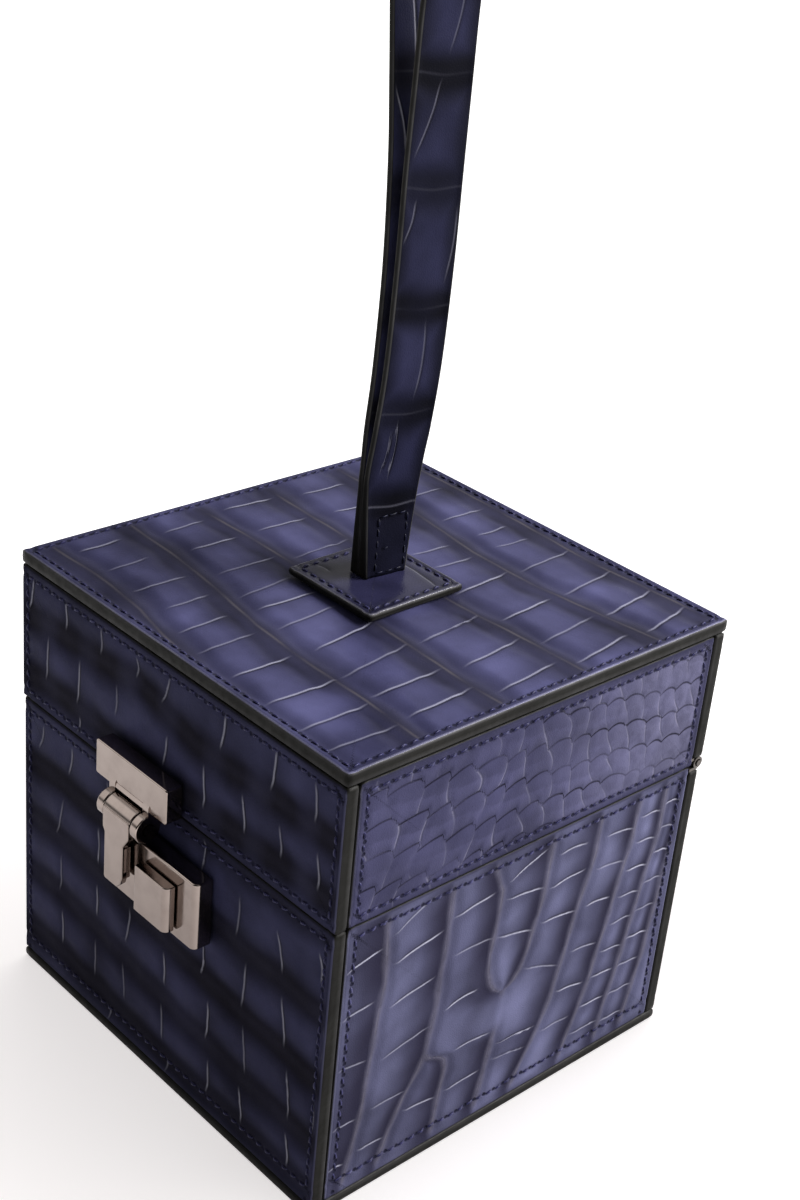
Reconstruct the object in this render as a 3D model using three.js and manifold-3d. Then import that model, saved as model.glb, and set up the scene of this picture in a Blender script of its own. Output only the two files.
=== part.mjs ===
// A cube-shaped vanity case: board panels covered in embossed leather, a lid hinged along the back,
// a slide lock with a hanging hasp on the front, and a wrist strap that stands on a tab on the lid.
// Millimetres. +X is right seen from the front, the lock faces -Y, and +Z is up.
// The origin is the middle of the underside, on the surface that the case stands on.
import * as THREE from "three";
import { mergeVertices } from "three/addons/utils/BufferGeometryUtils.js";
import Module from "manifold-3d";

// The box
const WIDTH = 120;
const DEPTH = 120;
const BODY_HEIGHT = 80.4;
const LID_HEIGHT = 40.4;
const LID_GAP = 0.4; // open line between the lid and the body
const LID_PROUD = 0.3; // the lid stands out past the body on every side
const PANEL = 3.6; // board with leather on both faces
const BASE_PANEL = 2.8;
const SEAM = 0.2; // glue line between two panels
const EDGE_ROUND = 0.6; // painted edges are rounded over

// The strap and its tab
const TAB_SIDE = 29.6;
const TAB_THICK = 2.2;
const TAB_EDGE_ROUND = 0.4;
const STRAP_THICK = 1.5; // one leg
const STRAP_WIDTH = 16.4;
const STRAP_FOOT_WIDTH = 11.8; // narrowed where both legs are sewn together
const STRAP_Y = 1.8; // sewn a little behind the middle of the tab
const STRAP_FOOT_RISE = 26; // height of the sewn foot
// Outer faces of the two legs by height above the tab: the strap leans and its legs part as they rise.
// turn is how far its back edge stands to the right of its front edge.
const STRAP_LEGS = [
  { rise: 0, near: 1.6, far: -4.3, turn: 1.6 },
  { rise: 12, near: 1.5, far: -3.2, turn: 1.1 },
  { rise: 26, near: 1.7, far: -1.6, turn: 1.1 },
  { rise: 38, near: 3.3, far: -1.2, turn: 1.2 },
  { rise: 54, near: 4.9, far: -0.2, turn: 1.0 },
  { rise: 77, near: 5.6, far: 0.2, turn: 1.0 },
  { rise: 100, near: 5.6, far: -0.9, turn: 0.9 },
  { rise: 117, near: 5.8, far: -2.8, turn: 0.5 },
  { rise: 134, near: 6.0, far: -4.9, turn: 0.2 },
  { rise: 152, near: 7.2, far: -7.2, turn: 0 },
  { rise: 168, near: 8.6, far: -8.8, turn: 0 },
];
const STRAP_STEPS = 30; // points along one leg
const LOOP_STEPS = 14; // points round the top of the loop

// The lid hinge, a strip hinge let into the back of the split
const HINGE_Y = 59.2;
const KNUCKLE_R = 1.6;
const KNUCKLE_BORE = 1.0;
const HINGE_PIN_R = 0.75;
const HINGE_LENGTH = 118.8;
const HINGE_KNUCKLES = 9;
const KNUCKLE_GAP = 0.3;
const LEAF = 0.8;
const LEAF_HEIGHT = 9; // the part of a leaf that lies on the inside of the back panel
const LEAF_CLEAR = 0.3; // the leaf's edge stays this far from the other leaf's knuckles
const BACK_REBATE = 1.9; // the back panels stop short of the split by this much
const PIN_PROUD = 0.3; // a pin's end stands out of its barrel by this much

// The lock
const HASP_X = -6.85; // middle of the hasp and of its plate
const PLATE_WIDTH = 27.6;
const PLATE_HEIGHT = 9.3; // up from the lid's lower edge
const PLATE_PROUD = 5.0; // in front of the lid
const BARREL_R = 3.6;
const BARREL_BORE = 1.6;
const HASP_PIN_R = 1.3;
const BARREL_LENGTH = 15.6;
const BARREL_PROUD = 5.3; // axis in front of the lid
const BARREL_DROP = 4.3; // axis below the lid's lower edge
const HASP_KNUCKLE = 10.0;
const HASP_PROUD = 9.0; // front of the flap in front of the lid
const HASP_THICK = 1.8;
// The flap's outline: X from its middle, Z from the lid's lower edge. A shoulder on each side, then the foot.
const HASP_OUTLINE = [
  [-3.8, -22.7],
  [0.9, -22.7],
  [2.4, -21.2],
  [3.0, -19.3],
  [3.0, -10.5],
  [5.0, -7.6],
  [5.0, -3.0],
  [-5.0, -3.0],
  [-5.0, -8.5],
  [-4.2, -9.8],
  [-4.2, -22.2],
];
const HASP_PAD = { left: -3.5, bottom: -20.9, right: 1.8, top: -12.0, deep: 1.6 }; // boss behind the foot
// The groove in the foot's right edge
const HASP_GROOVE = { bottom: -18.7, top: -11.2, side: 3.0, deep: 0.5, inset: 0.45 };
const CASE_LEFT = -15.3;
const CASE_RIGHT = 19.1;
const CASE_BOTTOM = 53.1;
const CASE_TOP = 71.3;
const CASE_PROUD = 5.4; // in front of the body
const BUTTON_LEFT = -0.2;
const BUTTON_RIGHT = 12.1;
const BUTTON_BOTTOM = 55.0;
const BUTTON_TOP = 67.4;
const BUTTON_THICK = 2.8;
const BUTTON_TRAVEL = 4.0;
const STEM_LEFT = 0.6; // so that its slot stays behind the block until the block slides
const STEM_WIDTH = 6.2;
const STEM_HEIGHT = 5.0;
const STEM_DEPTH = 2.4;
const METAL_ROUND = 0.5;
const CASE_ROUND = 1.2;
const CUT_PAST = 1; // a cut runs this far past the face that it opens
const METAL_GAP = 0.3; // between the metal and what it sits on or slides in
const ROUND_SIDES = 12; // half the sides of a barrel

const LEATHER_COLOUR = 0x23233c;
const TAB_COLOUR = 0x252640;
const STRAP_COLOUR = 0x20213a;
const NICKEL_COLOUR = 0xb9aaa0;
const LEATHER_ROUGHNESS = 0.45;
const NICKEL_ROUGHNESS = 0.18;

const WELD = 1e-4;
const wasm = await Module();
wasm.setup();

// A closed geometry as a solid that can be joined and cut.
function solid(geometry) {
  const bare = geometry.clone();
  bare.deleteAttribute("normal");
  bare.deleteAttribute("uv");
  const welded = mergeVertices(bare, WELD);
  return new wasm.Manifold(
    new wasm.Mesh({
      numProp: 3,
      vertProperties: welded.getAttribute("position").array,
      triVerts: new Uint32Array(welded.index.array),
    }),
  );
}

// The surface of a joined or cut solid.
function surface(manifold) {
  const mesh = manifold.getMesh();
  const geometry = new THREE.BufferGeometry();
  geometry.setAttribute("position", new THREE.BufferAttribute(mesh.vertProperties, 3));
  geometry.setIndex(new THREE.BufferAttribute(mesh.triVerts, 1));
  geometry.computeVertexNormals();
  return geometry;
}

// An outline pushed from low to high along one axis, with both rims rounded over by round.
function extrude(outline, low, high, round, basis) {
  const geometry = new THREE.ExtrudeGeometry(outline, {
    depth: high - low - 2 * round,
    curveSegments: ROUND_SIDES,
    bevelEnabled: round > 0,
    bevelSize: round,
    bevelOffset: -round,
    bevelThickness: round,
    bevelSegments: 2,
  });
  geometry.translate(0, 0, round);
  return geometry.applyMatrix4(basis);
}

// The outline lies in Y and Z.
function alongX(outline, low, high, round = 0) {
  const basis = new THREE.Matrix4().makeBasis(
    new THREE.Vector3(0, 1, 0),
    new THREE.Vector3(0, 0, 1),
    new THREE.Vector3(1, 0, 0),
  );
  return extrude(outline, low, high, round, basis.setPosition(low, 0, 0));
}

// The outline lies in X and Z.
function alongY(outline, low, high, round = 0) {
  const basis = new THREE.Matrix4().makeBasis(
    new THREE.Vector3(1, 0, 0),
    new THREE.Vector3(0, 0, 1),
    new THREE.Vector3(0, -1, 0),
  );
  return extrude(outline, low, high, round, basis.setPosition(0, high, 0));
}

// The outline lies in X and Y.
function alongZ(outline, low, high, round = 0) {
  return extrude(outline, low, high, round, new THREE.Matrix4().makeTranslation(0, 0, low));
}

function polygon(points) {
  return new THREE.Shape(points.map(([u, v]) => new THREE.Vector2(u, v)));
}

function rectangle(uLow, vLow, uHigh, vHigh) {
  return polygon([
    [uLow, vLow],
    [uHigh, vLow],
    [uHigh, vHigh],
    [uLow, vHigh],
  ]);
}

function ring(u, v, outer, inner) {
  const shape = new THREE.Shape().absarc(u, v, outer, 0, 2 * Math.PI);
  if (inner > 0) {
    shape.holes.push(new THREE.Path().absarc(u, v, inner, 0, 2 * Math.PI));
  }
  return shape;
}

function part(name, geometry, colour, roughness, metalness) {
  const material = new THREE.MeshStandardMaterial({ color: colour, roughness, metalness });
  const mesh = new THREE.Mesh(geometry, material);
  mesh.name = name;
  return mesh;
}

function leather(name, geometry, colour = LEATHER_COLOUR) {
  return part(name, geometry, colour, LEATHER_ROUGHNESS, 0);
}

function nickel(name, geometry) {
  return part(name, geometry, NICKEL_COLOUR, NICKEL_ROUGHNESS, 1);
}

// Four upright panels: front and back run the full width, and the sides stand between them.
function walls(prefix, width, depth, low, high, backLow, backHigh) {
  const x = width / 2;
  const y = depth / 2;
  const sideY = y - PANEL - SEAM;
  const panel = (name, geometry) => leather(prefix + name, geometry);
  return [
    panel("front", alongY(rectangle(-x, low, x, high), -y, PANEL - y, EDGE_ROUND)),
    panel("back", alongY(rectangle(-x, backLow, x, backHigh), y - PANEL, y, EDGE_ROUND)),
    panel("left", alongX(rectangle(-sideY, low, sideY, high), -x, PANEL - x, EDGE_ROUND)),
    panel("right", alongX(rectangle(-sideY, low, sideY, high), x - PANEL, x, EDGE_ROUND)),
  ];
}

// The open body: a base under four walls.
function makeBody() {
  const group = new THREE.Group();
  const width = WIDTH - 2 * LID_PROUD;
  const depth = DEPTH - 2 * LID_PROUD;
  const base = rectangle(-width / 2, -depth / 2, width / 2, depth / 2);
  const wallLow = BASE_PANEL + SEAM;
  group.add(
    leather("base_panel", alongZ(base, 0, BASE_PANEL, EDGE_ROUND)),
    ...walls("body_", width, depth, wallLow, BODY_HEIGHT, wallLow, BODY_HEIGHT - BACK_REBATE),
  );
  return group;
}

// The lid: four walls under a top, with its heights counted from its own lower edge.
function makeLid() {
  const group = new THREE.Group();
  const top = rectangle(-WIDTH / 2, -DEPTH / 2, WIDTH / 2, DEPTH / 2);
  const wallHigh = LID_HEIGHT - PANEL - SEAM;
  group.add(
    ...walls("lid_", WIDTH, DEPTH, 0, wallHigh, BACK_REBATE, wallHigh),
    leather("lid_top", alongZ(top, LID_HEIGHT - PANEL, LID_HEIGHT, EDGE_ROUND)),
  );
  return group;
}

// One face of a strap leg as points from a given rise up to the last row of the table.
function legFace(side, inset, fromRise) {
  const rows = STRAP_LEGS.filter((row) => row.rise >= fromRise);
  const curve = new THREE.SplineCurve(rows.map((row) => new THREE.Vector2(row[side] + inset, row.rise)));
  return curve.getPoints(STRAP_STEPS);
}

// The round end of the loop, from the near leg over to the far one.
function loopTop(inset) {
  const { rise, near, far } = STRAP_LEGS[STRAP_LEGS.length - 1];
  const radius = (near - far) / 2 - inset;
  const arc = new THREE.EllipseCurve((near + far) / 2, rise, radius, radius, 0, Math.PI);
  return arc.getPoints(LOOP_STEPS).slice(1, -1);
}

// The strap's turn at a height above the tab, from the rows of the table on either side of it.
function turnAt(rise) {
  const above = STRAP_LEGS.findIndex((row) => row.rise > rise);
  if (above < 1) {
    return above < 0 ? STRAP_LEGS[STRAP_LEGS.length - 1].turn : STRAP_LEGS[0].turn;
  }
  const low = STRAP_LEGS[above - 1];
  const high = STRAP_LEGS[above];
  return THREE.MathUtils.mapLinear(rise, low.rise, high.rise, low.turn, high.turn);
}

// Leans each level of the strap so that its back edge stands off its front edge by the turn there.
function turned(geometry) {
  const points = geometry.getAttribute("position");
  for (let i = 0; i < points.count; i += 1) {
    const across = (points.getY(i) - STRAP_Y) / STRAP_WIDTH;
    points.setX(i, points.getX(i) + across * turnAt(points.getZ(i)));
  }
  return geometry;
}

// A closed loop of strap whose two ends are sewn together into a narrower foot.
function makeStrap() {
  const face = (inset, fromRise) => [
    ...legFace("near", -inset, fromRise),
    ...loopTop(inset),
    ...legFace("far", inset, fromRise).reverse(),
  ];
  const outline = new THREE.Shape(face(0, 0));
  outline.holes.push(new THREE.Path(face(STRAP_THICK, STRAP_FOOT_RISE)));
  const half = STRAP_WIDTH / 2;
  const foot = STRAP_FOOT_WIDTH / 2;
  const last = STRAP_LEGS[STRAP_LEGS.length - 1];
  const reach = Math.max(last.near, -last.far) + STRAP_THICK;
  const top = last.rise + 2 * reach;
  const sideView = polygon([
    [STRAP_Y - foot, 0],
    [STRAP_Y + foot, 0],
    [STRAP_Y + half, STRAP_FOOT_RISE],
    [STRAP_Y + half, top],
    [STRAP_Y - half, top],
    [STRAP_Y - half, STRAP_FOOT_RISE],
  ]);
  const loop = solid(turned(alongY(outline, STRAP_Y - half, STRAP_Y + half)));
  return surface(loop.intersect(solid(alongX(sideView, -reach, reach))));
}

function makeStrapOnTab() {
  const group = new THREE.Group();
  const half = TAB_SIDE / 2;
  const strap = leather("wrist_strap", makeStrap(), STRAP_COLOUR);
  strap.position.z = TAB_THICK + SEAM;
  const patch = alongZ(rectangle(-half, -half, half, half), 0, TAB_THICK, TAB_EDGE_ROUND);
  group.add(leather("strap_tab", patch, TAB_COLOUR), strap);
  return group;
}

// One leaf of the strip hinge: an angle on the back panel's edge and inner face, with every second knuckle.
// side is 1 for the lid's leaf, above the axis, and -1 for the body's. The axis is at zero height.
function hingeLeaf(side, firstKnuckle) {
  const half = HINGE_LENGTH / 2;
  const pitch = (HINGE_LENGTH + KNUCKLE_GAP) / HINGE_KNUCKLES;
  const seat = side * (BACK_REBATE + LID_GAP / 2 - SEAM); // the leaf's face on the panel's edge
  const flat = seat - side * LEAF;
  const inner = DEPTH / 2 - LID_PROUD - PANEL - SEAM - LEAF;
  const rim = HINGE_Y - KNUCKLE_R - LEAF_CLEAR;
  const panelEnd = DEPTH / 2 - LID_PROUD - PANEL + SEAM;
  const plateHalf = WIDTH / 2 - LID_PROUD - PANEL - 2 * SEAM;
  const low = Math.min(seat, flat);
  const high = Math.max(seat, flat);
  const plateLow = Math.min(flat, seat + side * LEAF_HEIGHT);
  const plateHigh = Math.max(flat, seat + side * LEAF_HEIGHT);
  let leaf = solid(alongX(rectangle(panelEnd, low, rim, high), -half, half));
  leaf = leaf.add(solid(alongX(rectangle(inner, low, rim, high), -plateHalf, plateHalf)));
  leaf = leaf.add(solid(alongX(rectangle(inner, plateLow, inner + LEAF, plateHigh), -plateHalf, plateHalf)));
  const bore = solid(alongX(ring(HINGE_Y, 0, KNUCKLE_BORE, 0), -half - CUT_PAST, half + CUT_PAST));
  for (let i = firstKnuckle; i < HINGE_KNUCKLES; i += 2) {
    const start = i * pitch - half;
    const end = start + pitch - KNUCKLE_GAP;
    leaf = leaf.add(solid(alongX(rectangle(panelEnd, low, HINGE_Y, high), start, end)));
    leaf = leaf.add(solid(alongX(ring(HINGE_Y, 0, KNUCKLE_R, 0), start, end)));
  }
  return surface(leaf.subtract(bore));
}

// The plate on the lid, with two lugs that hold the end knuckles of the hasp's barrel.
// Heights are from the lid's lower edge, and X is from the hasp's middle.
function makeHaspPlate() {
  const front = -DEPTH / 2 - PLATE_PROUD;
  const back = -DEPTH / 2 - METAL_GAP;
  const axisY = -DEPTH / 2 - BARREL_PROUD;
  const half = PLATE_WIDTH / 2;
  const plate = rectangle(-half, 0, half, PLATE_HEIGHT);
  let piece = solid(alongY(plate, front, back, METAL_ROUND));
  const lugInner = HASP_KNUCKLE / 2 + METAL_GAP;
  const bore = solid(alongX(ring(axisY, -BARREL_DROP, BARREL_BORE, 0), -half, half));
  for (const [start, end] of [
    [-BARREL_LENGTH / 2, -lugInner],
    [lugInner, BARREL_LENGTH / 2],
  ]) {
    const lug = rectangle(front + METAL_ROUND, -BARREL_DROP, back - METAL_ROUND, PLATE_HEIGHT / 2);
    piece = piece.add(solid(alongX(lug, start, end)));
    piece = piece.add(solid(alongX(ring(axisY, -BARREL_DROP, BARREL_R, 0), start, end)));
  }
  return surface(piece.subtract(bore));
}

// The hasp: a knuckle with a flap that hangs from its front, narrowed below its shoulders,
// with a groove down its right edge and a boss behind its foot.
function makeHasp() {
  const axisY = -DEPTH / 2 - BARREL_PROUD;
  const front = -DEPTH / 2 - HASP_PROUD;
  const back = front + HASP_THICK;
  const knuckle = ring(axisY, -BARREL_DROP, BARREL_R, 0);
  const hole = ring(axisY, -BARREL_DROP, BARREL_BORE, 0);
  const boss = rectangle(HASP_PAD.left, HASP_PAD.bottom, HASP_PAD.right, HASP_PAD.top);
  const { bottom, top, side, deep, inset } = HASP_GROOVE;
  const groove = rectangle(front + inset, bottom, back - inset, top);
  return surface(
    solid(alongY(polygon(HASP_OUTLINE), front, back, METAL_ROUND / 2))
      .add(solid(alongX(knuckle, -HASP_KNUCKLE / 2, HASP_KNUCKLE / 2)))
      .add(solid(alongY(boss, back - METAL_ROUND, back + HASP_PAD.deep)))
      .subtract(solid(alongX(hole, -HASP_KNUCKLE, HASP_KNUCKLE)))
      .subtract(solid(alongX(groove, side - deep, side + CUT_PAST))),
  );
}

// A section in X and Y of a metal block whose two front edges are rounded.
function roundFronted(left, right, front, back, leftRound, rightRound) {
  const shape = new THREE.Shape();
  shape.moveTo(left, back);
  shape.lineTo(left, front + leftRound);
  shape.absarc(left + leftRound, front + leftRound, leftRound, Math.PI, 1.5 * Math.PI);
  shape.lineTo(right - rightRound, front);
  shape.absarc(right - rightRound, front + rightRound, rightRound, 1.5 * Math.PI, 2 * Math.PI);
  shape.lineTo(right, back);
  return shape;
}

// The slide's stem, or with a clearance round it the slot that it runs in.
function stem(front, back, clear, travel) {
  const z = (BUTTON_BOTTOM + BUTTON_TOP) / 2;
  const outline = rectangle(
    STEM_LEFT - clear,
    z - STEM_HEIGHT / 2 - clear,
    STEM_LEFT + STEM_WIDTH + clear + travel,
    z + STEM_HEIGHT / 2 + clear,
  );
  return solid(alongY(outline, front, back));
}

// The lock's case on the body, slotted for the slide's stem.
function makeLockCase() {
  const bodyFront = LID_PROUD - DEPTH / 2;
  const front = bodyFront - CASE_PROUD;
  const back = bodyFront - METAL_GAP;
  const section = roundFronted(CASE_LEFT, CASE_RIGHT, front, back, CASE_ROUND, CASE_ROUND);
  const block = solid(alongZ(section, CASE_BOTTOM, CASE_TOP, METAL_ROUND));
  const slotEnd = front + STEM_DEPTH + METAL_GAP;
  return surface(block.subtract(stem(front - CUT_PAST, slotEnd, METAL_GAP, BUTTON_TRAVEL)));
}

// The slide: a thumb block in front of the case, on a stem that runs in the slot.
function makeSlide() {
  const back = LID_PROUD - DEPTH / 2 - CASE_PROUD - METAL_GAP;
  const front = back - BUTTON_THICK;
  const section = roundFronted(BUTTON_LEFT, BUTTON_RIGHT, front, back, METAL_ROUND, CASE_ROUND);
  const block = solid(alongZ(section, BUTTON_BOTTOM, BUTTON_TOP, METAL_ROUND / 2));
  return surface(block.add(stem(back - METAL_ROUND, back + STEM_DEPTH, 0, 0)));
}

// A round pin along X with its ends proud of the barrel that it runs through.
function pin(y, z, radius, barrel) {
  const half = barrel / 2 + PIN_PROUD;
  return alongX(ring(y, z, radius, 0), -half, half);
}

const vanityCase = new THREE.Group();
const body = makeBody();
const lid = makeLid();
lid.position.z = BODY_HEIGHT + LID_GAP;

const strapOnTab = makeStrapOnTab();
strapOnTab.position.z = LID_HEIGHT + SEAM;
lid.add(strapOnTab);

const hinge = new THREE.Group();
hinge.position.z = BODY_HEIGHT + LID_GAP / 2;
hinge.add(
  nickel("hinge_leaf_body", hingeLeaf(-1, 0)),
  nickel("hinge_leaf_lid", hingeLeaf(1, 1)),
  nickel("hinge_pin", pin(HINGE_Y, 0, HINGE_PIN_R, HINGE_LENGTH)),
);

const hasp = new THREE.Group();
hasp.position.x = HASP_X;
hasp.add(
  nickel("hasp_plate", makeHaspPlate()),
  nickel("hasp", makeHasp()),
  nickel("hasp_pin", pin(-DEPTH / 2 - BARREL_PROUD, -BARREL_DROP, HASP_PIN_R, BARREL_LENGTH)),
);
lid.add(hasp);

body.add(nickel("lock_case", makeLockCase()), nickel("lock_slide", makeSlide()));
vanityCase.add(body, lid, hinge);

export default vanityCase;
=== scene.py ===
import math

import bmesh
import bpy
import numpy as np
from mathutils import Matrix, Vector


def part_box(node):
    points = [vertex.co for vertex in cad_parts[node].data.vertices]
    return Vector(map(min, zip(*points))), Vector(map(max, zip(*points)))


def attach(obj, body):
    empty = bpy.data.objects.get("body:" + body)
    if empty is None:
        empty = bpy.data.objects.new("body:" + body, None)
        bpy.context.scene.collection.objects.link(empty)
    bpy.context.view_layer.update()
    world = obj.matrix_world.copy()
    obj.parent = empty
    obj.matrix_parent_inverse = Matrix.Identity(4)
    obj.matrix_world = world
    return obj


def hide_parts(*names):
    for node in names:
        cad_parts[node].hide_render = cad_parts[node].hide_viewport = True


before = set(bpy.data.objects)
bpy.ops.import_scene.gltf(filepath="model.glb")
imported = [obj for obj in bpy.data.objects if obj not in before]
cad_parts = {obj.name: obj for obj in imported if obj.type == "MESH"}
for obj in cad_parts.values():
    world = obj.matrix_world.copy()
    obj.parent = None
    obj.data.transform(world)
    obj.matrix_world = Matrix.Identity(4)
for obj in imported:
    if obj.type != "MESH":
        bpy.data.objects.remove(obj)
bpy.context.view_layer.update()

# Base board
# A sheet of bag board covered with embossed hide underneath and with lining on top.
# Its cut edge is rounded over and painted black, as on every board of the case.
MM = 0.001
EDGE_ROUND = 0.75
RIM_FLAT = 3.0
RIM_SHADE = 2.4
SEAM_WIDTH = 0.8
STITCH_PITCH = 3.2
PORE_SCALE = 1500.0
FURROW_WIDER = 1.3
RUB_AND_HIGHLIGHT_GREY = (0.15, 0.148, 0.165)
HOLE_SHADE_COLOUR = (0.008, 0.008, 0.018)
NO_SEAM = (0.0, 9.0, 0.0)
FLOAT = "NodeSocketFloat"
VECTOR = "NodeSocketVector"
FACES = {
    "front": ((1, 0, 0), (0, 0, 1), (0, -1, 0)),
    "back": ((-1, 0, 0), (0, 0, 1), (0, 1, 0)),
    "left": ((0, -1, 0), (0, 0, 1), (-1, 0, 0)),
    "right": ((0, 1, 0), (0, 0, 1), (1, 0, 0)),
    "top": ((1, 0, 0), (0, 1, 0), (0, 0, 1)),
    "under": ((1, 0, 0), (0, -1, 0), (0, 0, -1)),
}


def place_node(tree, kind, inputs=None, **settings):
    made = tree.nodes.new(kind)
    for key, value in settings.items():
        setattr(made, key, value)
    for key, value in (inputs or {}).items():
        if isinstance(value, bpy.types.NodeSocket):
            tree.links.new(value, made.inputs[key])
        else:
            made.inputs[key].default_value = value
    return made


def own_place(tree):
    return tree.nodes.new("ShaderNodeTexCoord").outputs["Object"]


def marked(tree, label, part):
    return place_node(tree, "ShaderNodeAttribute", attribute_name=label).outputs[part]


def calc(tree, operation, first, second=0.0):
    return place_node(tree, "ShaderNodeMath", {0: first, 1: second}, operation=operation).outputs[0]


def times(tree, first, second):
    return calc(tree, "MULTIPLY", first, second)


def noise(tree, at, scale, detail, distortion=0.0):
    inputs = {"Vector": at, "Scale": scale, "Detail": detail, "Distortion": distortion}
    return place_node(tree, "ShaderNodeTexNoise", inputs).outputs["Fac"]


def ramp(tree, value, low, high, at_low=0.0, at_high=1.0, kind="SMOOTHSTEP"):
    inputs = {0: value, 1: low, 2: high, 3: at_low, 4: at_high}
    return place_node(tree, "ShaderNodeMapRange", inputs, interpolation_type=kind).outputs[0]


def blend_colour(tree, share, first, second):
    first, second = (c if isinstance(c, bpy.types.NodeSocket) else (*c, 1) for c in (first, second))
    return place_node(tree, "ShaderNodeMix", {0: share, 6: first, 7: second}, data_type="RGBA").outputs[2]


def new_group(name, takes, gives):
    tree = bpy.data.node_groups.new(name, "ShaderNodeTree")
    for way, sockets in (("INPUT", takes), ("OUTPUT", gives)):
        for label, kind in sockets.items():
            tree.interface.new_socket(label, in_out=way, socket_type=kind)
    return tree, tree.nodes.new("NodeGroupInput").outputs, tree.nodes.new("NodeGroupOutput").inputs


def use_group(tree, group, inputs):
    return place_node(tree, "ShaderNodeGroup", inputs, node_tree=group).outputs


def new_finish(name, metallic=0.0, specular=0.5):
    finish = bpy.data.materials.new(name)
    finish.use_nodes = True
    shader = finish.node_tree.nodes["Principled BSDF"]
    shader.inputs["Metallic"].default_value = metallic
    shader.inputs["Specular IOR Level"].default_value = specular
    return finish, finish.node_tree, shader


def dress(tree, shader, colour, roughness):
    tree.links.new(colour, shader.inputs["Base Color"])
    tree.links.new(roughness, shader.inputs["Roughness"])


def raise_normal(tree, shader, height, distance, strength=1.0):
    inputs = {"Height": height, "Distance": distance, "Strength": strength}
    tree.links.new(place_node(tree, "ShaderNodeBump", inputs).outputs["Normal"], shader.inputs["Normal"])


# The pressed line of a crease. The attribute counts creases, and a whole number lies on one.
# Its other parts are the gap between two creases in millimetres and how strongly the line shows.
# Shadow is a painted shadow laid along one side of each line.
pressed_line, line_in, line_out = new_group(
    "pressed_line", {"Count": VECTOR, "Width": FLOAT}, {"Line": FLOAT, "Shadow": FLOAT}
)
counted, gap_mm, showing = place_node(pressed_line, "ShaderNodeSeparateXYZ", {0: line_in["Count"]}).outputs
off_line = calc(pressed_line, "SUBTRACT", counted, calc(pressed_line, "ROUND", counted))
off_mm = times(pressed_line, calc(pressed_line, "ABSOLUTE", off_line), gap_mm)
core = ramp(pressed_line, off_mm, 0.0, line_in["Width"], 1.0, 0.0)
beside_mm = times(pressed_line, off_line, gap_mm)
shadow_middle = times(pressed_line, line_in["Width"], 0.95)
shadow_end = times(pressed_line, line_in["Width"], 2.4)
shadow_rise = ramp(pressed_line, beside_mm, 0.0, shadow_middle)
shadow_fall = ramp(pressed_line, beside_mm, shadow_middle, shadow_end, 1.0, 0.0)
shadow = times(pressed_line, shadow_rise, shadow_fall)
pressed_line.links.new(times(pressed_line, core, showing), line_out["Line"])
pressed_line.links.new(times(pressed_line, shadow, showing), line_out["Shadow"])

# The hide's own surface: fine pores, a soft cloudiness of the dye, a patchy polish and small wrinkles.
hide_grain, grain_in, grain_out = new_group(
    "hide_grain", {"Pores": FLOAT}, {"Height": FLOAT, "Cloud": FLOAT, "Polish": FLOAT, "Wrinkle": FLOAT}
)
where = own_place(hide_grain)
pore_inputs = {"Vector": where, "Scale": grain_in["Pores"]}
pores = place_node(hide_grain, "ShaderNodeTexVoronoi", pore_inputs, feature="DISTANCE_TO_EDGE")
pore_edge = ramp(hide_grain, pores.outputs["Distance"], 0.0, 0.22)
fibre = noise(hide_grain, where, 900.0, 3.0)
wrinkle = noise(hide_grain, where, 260.0, 2.0, 0.8)
grain_sum = calc(hide_grain, "ADD", times(hide_grain, pore_edge, 0.25), times(hide_grain, fibre, 0.3))
hide_grain.links.new(grain_sum, grain_out["Height"])
hide_grain.links.new(noise(hide_grain, where, 55.0, 4.0), grain_out["Cloud"])
hide_grain.links.new(noise(hide_grain, where, 160.0, 5.0), grain_out["Polish"])
hide_grain.links.new(ramp(hide_grain, wrinkle, 0.36, 0.64), grain_out["Wrinkle"])

# The awl holes of a seam. The attribute gives the count along the row, the distance from it,
# and whether there is a row at all.
# The holes are painted dark as painted shade.
awl_holes, awl_in, awl_out = new_group("awl_holes", {"Seam": VECTOR, "Pitch": FLOAT}, {"Hole": FLOAT})
along_seam, off_seam, is_sewn = place_node(awl_holes, "ShaderNodeSeparateXYZ", {0: awl_in["Seam"]}).outputs
from_hole = calc(awl_holes, "SUBTRACT", along_seam, calc(awl_holes, "ROUND", along_seam))
hole_mm = times(awl_holes, from_hole, awl_in["Pitch"])
squares = calc(awl_holes, "ADD", times(awl_holes, hole_mm, hole_mm), times(awl_holes, off_seam, off_seam))
hole_mask = ramp(awl_holes, calc(awl_holes, "SQRT", squares), 0.28, 0.75, 1.0, 0.0)
awl_holes.links.new(times(awl_holes, hole_mask, is_sewn), awl_out["Hole"])


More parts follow.
